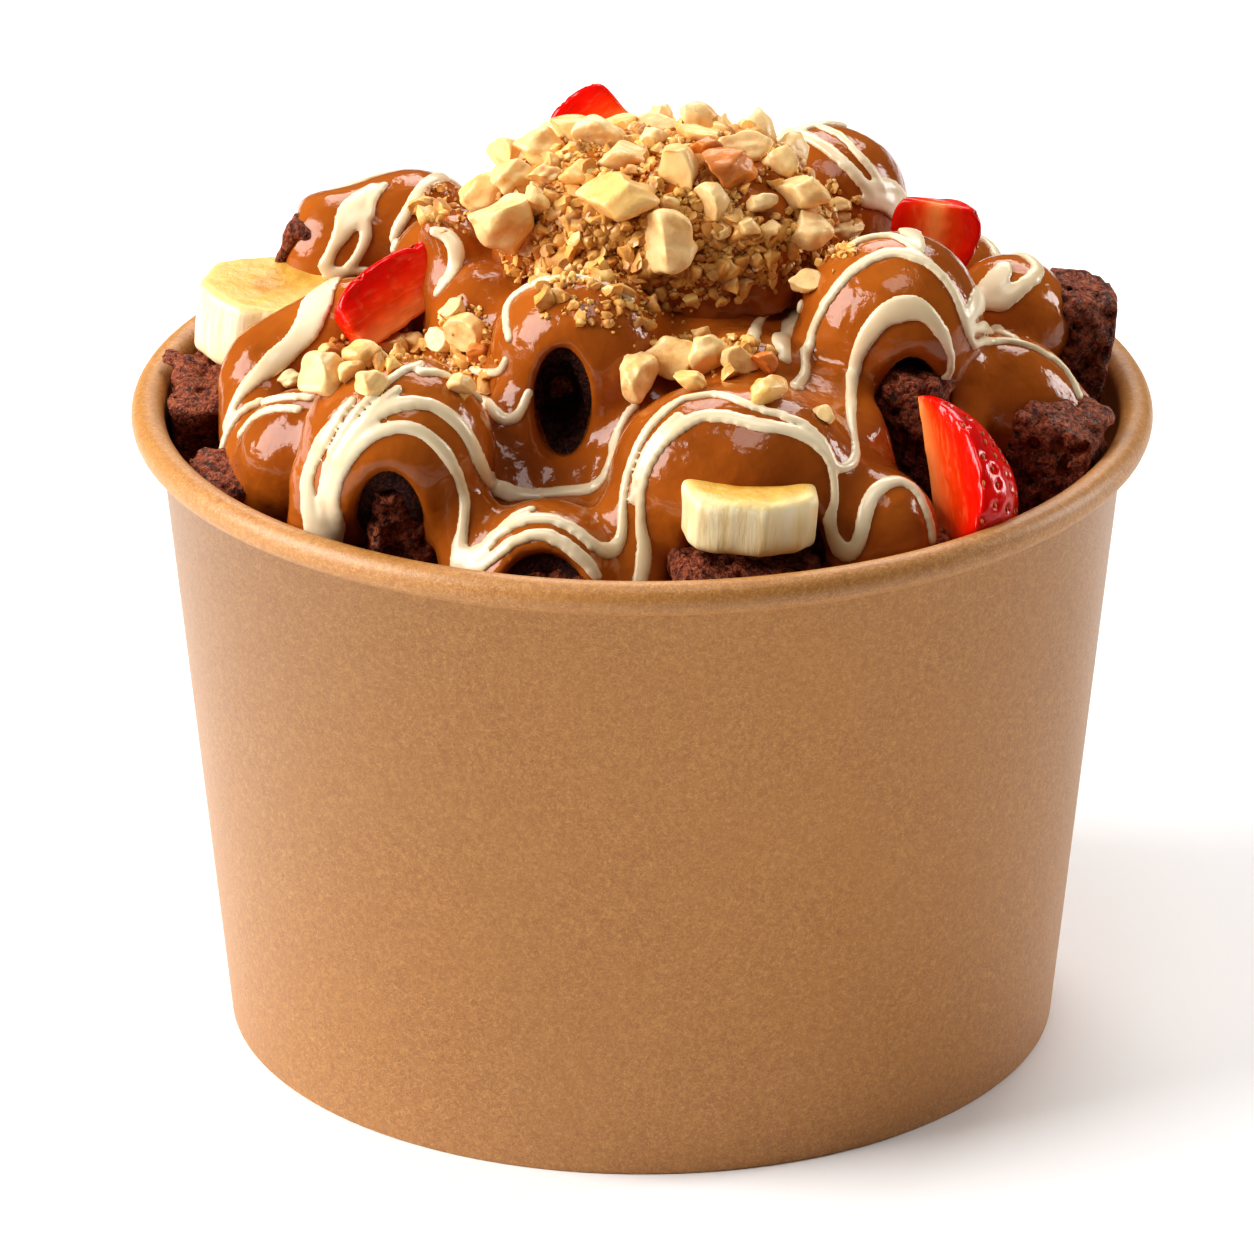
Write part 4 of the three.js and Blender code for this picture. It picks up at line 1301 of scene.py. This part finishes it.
def mound_field(grid):
    axes = zip((grid.x, grid.y, grid.z), MOUND_AT, MOUND_HALF)
    x, y, z = ((axis - at) / half for axis, at, half in axes)
    out = (x * x + y * y) ** (MOUND_POWER / 2) + np.abs(z) ** MOUND_POWER
    field = (out ** (1 / MOUND_POWER) - 1) * MOUND_HALF.min()
    return np.maximum(uneven(field, grid, MOUND_RELIEF), MOUND_FLOOR - grid.z)


def nut_pieces(name, rng, kinds, places, halves, material, node, turned=random_turns):
    turns = turned(rng, len(places))
    verts, faces, tones = scattered(rng, kinds, places, halves, turns)
    mesh_object(name, "nuts", node, (verts, faces), material, crease=NUT_CREASE, tone=tones)


def nut_halves(sizes, rng):
    """Half sizes of pieces from their length and width."""
    sizes = np.asarray(sizes, float)
    thick = sizes[:, 1] * rng.uniform(0.75, 1.0, len(sizes))
    return np.column_stack([sizes[:, 0], sizes[:, 1], thick]) / 2


def on_mound(places):
    """Which places lie on the mound, and not on the sauce below it."""
    return (((places - MOUND_AT) / (MOUND_HALF + MOUND_MARGIN)) ** 2).sum(axis=1) < 1


def build_large_nuts(ground, grid, pale, brown):
    """The large pieces that the photograph shows, and some for the far side."""
    rng = np.random.RandomState(SEED + LARGE_SEED)
    kinds = [chopped_nut(rng, 4, cuts, LARGE_ROUGH) for cuts in (2, 3, 4, 5, 4, 6, 3, 5)]
    table = np.array(LARGE_NUTS, float)
    halves = nut_halves(NUT_GROWTH * table[:, 2:], rng)
    places, _ = cast(ground, grid, *view_rays(table[:, :2]), NUT_LIFT * table[:, 3])
    heap = on_mound(places)
    nut_pieces("large_nuts", rng, kinds, places[heap], halves[heap], pale, "nuts", across_turns)
    nut_pieces("large_nuts_below", rng, kinds, places[~heap], halves[~heap], pale, "sauce", across_turns)

    table = np.array(BROWN_NUTS, float)
    places, _ = cast(ground, grid, *view_rays(table[:, :2]), NUT_LIFT * table[:, 3])
    halves = nut_halves(table[:, 2:], rng)
    nut_pieces("brown_nuts", rng, kinds, places, halves, brown, "nuts", across_turns)

    kinds = [chopped_nut(rng, 3, cuts, LARGE_ROUGH) for cuts in (2, 3, 4, 5, 4, 6)]
    turn = GOLDEN_TURN * np.arange(REAR_NUTS)
    out = np.sqrt((np.arange(REAR_NUTS) + 0.5) / REAR_NUTS)
    around = np.column_stack([np.cos(turn), np.sin(turn)])
    spots = np.array(REAR_NUT_SPOT) + np.array(REAR_NUT_SPREAD) * out[:, None] * around
    sizes = rng.uniform(*REAR_NUT_LENGTHS, (REAR_NUTS, 1)) * [1, NUT_SLENDER]
    places, _ = cast(ground, grid, *view_rays(spots, REAR_FLIP), NUT_LIFT * sizes[:, 1])
    kept = places[:, 1] > REAR_NUT_START
    nut_pieces("rear_nuts", rng, kinds, places[kept], nut_halves(sizes[kept], rng), pale, "nuts")


def crumb_spots(rng, patches, count):
    """Random pixels in the patches where small pieces lie."""
    patches = np.array(patches, float)
    share = patches[:, 4] / patches[:, 4].sum()
    across, down, wide, tall, _ = patches[rng.choice(len(patches), count, p=share)].T
    angle = rng.uniform(0, 2 * np.pi, count)
    out = np.sqrt(rng.uniform(0, 1, count)) * rng.uniform(0.75, 1.25, count)
    return np.column_stack([across + wide * out * np.cos(angle), down + tall * out * np.sin(angle)])


def build_small_nuts(name, seed, ground, grid, sizes, material):
    """Small pieces all over the patches, and half as many over the far side of the mound."""
    count, level, (least, most) = sizes
    rng = np.random.RandomState(seed)
    kinds = [chopped_nut(rng, level, cuts, SMALL_ROUGH) for cuts in (3, 4, 2, 4, 3)]
    front, rear = crumb_spots(rng, CRUMB_PATCHES, count), crumb_spots(rng, REAR_CRUMBS, count // 2)
    lengths = least + (most - least) * rng.uniform(0, 1, count + count // 2) ** 2
    rays = [np.vstack(both) for both in zip(view_rays(front), view_rays(rear, REAR_FLIP))]
    places, met = cast(ground, grid, *rays, CRUMB_LIFT * lengths)
    heap = on_mound(places)
    ahead = np.arange(len(places)) < count
    kept = met & (ahead | (heap & (places[:, 1] > REAR_CRUMB_START)))
    kept &= np.hypot(places[:, 0], places[:, 1]) < CRUMB_REACH
    halves = nut_halves(lengths[:, None] * [1, NUT_SLENDER], rng)
    above, below = heap & kept, ~heap & kept
    nut_pieces(name, rng, kinds, places[above], halves[above], material, "nuts")
    nut_pieces(name + "_below", rng, kinds, places[below], halves[below], material, "sauce")


# ---------------------------------------------------------------- fruit


def berry_radius(t):
    """Radius of a strawberry along its axis, as a share of the greatest, which comes out as 1."""
    t = np.clip(BERRY_HULLED + (1 - BERRY_HULLED) * t, 0, 1)
    return 2.057 * t**0.4 * (1 - t) ** 0.7


def berry_axes(base, tip, skin):
    """Axes of a piece, along the berry, across, and to the middle of its skin, and its length."""
    x = np.array(tip, float) - np.array(base, float)
    length = np.linalg.norm(x)
    x /= length
    z = np.array(skin, float)
    z -= (z @ x) * x
    z /= np.linalg.norm(z)
    return np.column_stack([x, np.cross(z, x), z]), length


def seed_spots(rng, length, radius, half_angle):
    """Places of the seeds on a wedge's skin: share along the axis, and angle from its middle."""
    spots = []
    rows = int(length / (PIP_SPACING * PIP_ROWS))
    for i in range(rows):
        t = (i + 0.5) / rows
        r = radius * berry_radius(t)
        around = max(1, int(2 * half_angle * r / PIP_SPACING))
        for j in range(around):
            angle = half_angle * (2 * (j + 0.5 + 0.5 * (i % 2)) / around - 1)
            if abs(angle) < half_angle - PIP_MARGIN / max(r, 1):
                along, aside = (rng.uniform(-most, most) for most in PIP_STRAY)
                spots.append((t + along, angle + aside))
    return np.array(spots)


def round_berry(grid, length, radius, pips, seed):
    """A whole strawberry, with a pit at each of its pips."""
    t = grid.x / length + 0.5
    rho = np.sqrt(grid.y**2 + grid.z**2)
    field = (rho - radius * berry_radius(t)) * 0.8 + np.maximum(grid.x - length / 2, 0)
    field = uneven(field, grid, [(0.3, 5, seed)])
    pits = np.full(grid.shape, FAR, np.float32)
    for pip in pips:
        pits = np.minimum(pits, ball_field(grid, pip, PIT_R))
    return smooth_max(field, -pits, PIT_EDGE)


def wedge_sides(grid, length, half_angle):
    """The flat cut sides of a wedge, and its end where the leaves were."""
    field = np.abs(grid.y) * math.cos(half_angle) - grid.z * math.sin(half_angle)
    field = smooth_max(field, -length / 2 - grid.x, BERRY_END_EDGE)
    return uneven(field, grid, BERRY_CUT_RELIEF)


def build_seeds(name, rng, pips, placed, material):
    """A seed in each pit, along the berry."""
    along = np.tile([1.0, 0, 0], (len(pips), 1))
    out = unit(pips * [0, 1, 1])
    turns = np.stack([along, np.cross(out, along), out], axis=2)
    halves = PIP_HALF * rng.uniform(0.8, 1.15, (len(pips), 3))
    verts, faces, _ = scattered(rng, [ball_mesh(2)], pips - PIP_SUNK * out, halves, turns)
    mesh_object(name + "_seeds", "strawberry", name, (placed(verts), faces), material)


def build_strawberry(name, sizes, flesh, seeds):
    base, tip, radius, wedge, skin = sizes
    axes, length = berry_axes(base, tip, skin)
    middle = (np.array(base, float) + np.array(tip, float)) / 2
    half_angle = math.radians(wedge / 2)
    rng = np.random.RandomState(SEED + len(name))
    spots = seed_spots(rng, length, radius, half_angle)
    reach = radius * berry_radius(spots[:, 0])
    pips = [(spots[:, 0] - 0.5) * length, reach * np.sin(spots[:, 1]), reach * np.cos(spots[:, 1])]
    pips = np.column_stack(pips)

    end, wide = length / 2 + 1.5, radius * 1.02
    grid = Grid((-end, -wide - 1, -1.5), (end, wide + 1, wide + 1.5), FRUIT_STEP)
    whole = round_berry(grid, length, radius, pips, len(name))
    sides = wedge_sides(grid, length, half_angle)
    verts, faces = surface_net(smooth_max(whole, sides, BERRY_EDGE), grid)
    on_cut = np.clip(0.5 + (sample(sides, grid, verts) - sample(whole, grid, verts)) / 0.8, 0, 1)
    here = np.maximum(radius * berry_radius(verts[:, 0] / length + 0.5), 0.5)
    depth = np.clip(1 - np.hypot(verts[:, 1], verts[:, 2]) / here, 0, 1)
    values = {"cut": on_cut, "depth": depth, "local": verts * MM}

    def placed(points):
        return middle + points @ axes.T

    mesh_object(name + "_flesh", "strawberry", name, (placed(verts), faces), flesh, **values)
    build_seeds(name, rng, pips, placed, seeds)


def build_banana(name, sizes, material):
    at, radius, thick, square, half, turn = sizes
    own = len(name)
    reach, tall = radius + 1.5, thick / 2 + 1.5
    grid = Grid((-reach, -reach, -tall), (reach, reach, tall), FRUIT_STEP)
    r = (np.abs(grid.x) ** square + np.abs(grid.y) ** square) ** (1 / square)
    sector = 2 * np.pi / BANANA_FACETS
    off = (np.arctan2(grid.y, grid.x) + 0.35 * (SEED + own)) % sector - sector / 2
    facet = 0.5 * (1 / np.cos(off) - 1)  # half way from a round outline to one with flat sides
    side = uneven(r - radius * (0.95 + facet), grid, [(0.2, 3, own)])
    dish = DISH_DEPTH * np.exp(-((r / (DISH_R * radius)) ** 2))
    lids = uneven(np.abs(grid.z) - thick / 2 + 0.15 + dish, grid, [(0.15, 2, own + 1)])
    field = smooth_max(side, lids, BANANA_EDGE)
    if half:
        field = smooth_max(field, grid.y - BANANA_CUT, BANANA_CUT_EDGE)
    verts, faces = surface_net(field, grid)
    on_lid = np.clip(0.5 + (sample(lids, grid, verts) - sample(side, grid, verts)) / 1.2, 0, 1)
    spread = np.clip(np.hypot(verts[:, 0], verts[:, 1]) / radius, 0, 1)
    shape = np.array(at) + verts @ euler_matrix(turn).T, faces
    values = {"face": on_lid, "depth": spread, "local": verts * MM}
    mesh_object(name + "_flesh", "banana", name, shape, material, **values)


# ---------------------------------------------------------------- camera and light


def build_stage():
    mesh = bpy.data.meshes.new("floor")
    corners = [(FLOOR_HALF * i, FLOOR_HALF * j, 0) for i, j in ((-1, -1), (1, -1), (1, 1), (-1, 1))]
    mesh.from_pydata(corners, [], [(0, 1, 2, 3)])
    floor = bpy.data.objects.new("floor", mesh)
    mesh.materials.append(Nodes("pale_floor").finish(Base_Color=(0.93, 0.93, 0.93, 1), Roughness=0.6))
    bpy.context.collection.objects.link(floor)


def area_light(name, at, size, watts):
    light = bpy.data.lights.new(name, "AREA")
    light.shape = "RECTANGLE"
    light.size, light.size_y = size
    light.energy = watts
    holder = bpy.data.objects.new(name, light)
    holder.location = at
    holder.rotation_euler = (Vector(LIGHT_AIM) - Vector(at)).to_track_quat("-Z", "Y").to_euler()
    bpy.context.collection.objects.link(holder)


def build_light():
    world = bpy.data.worlds.new("studio")
    bpy.context.scene.world = world
    world.use_nodes = True
    background = world.node_tree.nodes["Background"]
    background.inputs["Color"].default_value = (1, 1, 1, 1)
    background.inputs["Strength"].default_value = WORLD_LIGHT
    for name, light in LIGHTS.items():
        area_light(name, *light)


def build_camera():
    camera = bpy.data.cameras.new("photo_view")
    camera.sensor_width = SENSOR_MM
    camera.lens = SENSOR_MM * FOCAL_PX / IMAGE_PX
    camera.clip_end = 20
    holder = bpy.data.objects.new("photo_view", camera)
    holder.location = EYE * MM
    holder.rotation_euler = (math.pi / 2 - VIEW_TILT, 0, 0)
    bpy.context.collection.objects.link(holder)
    bpy.context.scene.camera = holder


def build_nuts(ground, grid, mound, core):
    """The mound's core, which is covered in sauce, and the pieces of nut over it and beside it."""
    mesh_object("nut_mound", "sauce", "nuts", surface_net(mound, grid), core)
    tan = nut_material("nut_crumb", srgb(246, 200, 120), srgb(212, 144, 64), srgb(150, 78, 24), 0.75)
    pale = nut_material("chopped_nut", srgb(250, 218, 162), srgb(240, 188, 104), srgb(202, 130, 52), 0.5)
    brown = nut_material("glazed_nut", srgb(226, 146, 66), srgb(202, 116, 44), srgb(160, 82, 26), 0.7)
    build_large_nuts(ground, grid, pale, brown)
    for i, (name, sizes) in enumerate(SMALL_NUTS.items()):
        build_small_nuts(name, SEED + SMALL_SEED + 10 * i, ground, grid, sizes, tan)


def build_heap():
    grid = Grid(*HEAP_BOX, HEAP_STEP)
    draped = draped_field(grid)
    sauce = sauce_field(grid, draped)
    coating = sauce_material()
    mesh_object("sauce_drape", "sauce", "sauce", surface_net(sauce, grid), coating)
    # The waffle down in the heap and inside the sauce's openings gets a much darker, near black copy of
    # the torn waffle's colours: painted shade for the dark inside of the heap.
    crumb = waffle_material("waffle_crumb_painted_shade", srgb(12, 3, 1), srgb(56, 21, 11), srgb(106, 50, 31))
    torn = waffle_material("torn_waffle", srgb(44, 14, 6), srgb(134, 62, 36), srgb(200, 116, 76))
    coarse = Grid(*CRUMB_BOX, CRUMB_STEP)
    build_waffle(coarse, waffle_field(coarse, draped_field(coarse)), crumb)
    build_blocks(torn)
    build_strands(Grid(*STRAND_BOX, STRAND_STEP), sauce, grid, strand_material())
    mound = mound_field(grid)
    ground = np.minimum(np.minimum(sauce, waffle_field(grid, draped)), mound)
    build_nuts(ground, grid, mound, coating)


def main():
    bpy.context.scene.view_settings.view_transform = "Standard"
    bpy.context.scene.view_settings.look = "Medium High Contrast"
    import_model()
    build_camera()
    build_light()
    build_stage()
    kraft = kraft_material()
    build_tub_wall(kraft)
    build_tub_base(kraft)
    build_heap()
    flesh, seeds = berry_material(), seed_material()
    for name, sizes in STRAWBERRIES.items():
        build_strawberry(name, sizes, flesh, seeds)
    soft = banana_material()
    for name, sizes in BANANAS.items():
        build_banana(name, sizes, soft)


main()
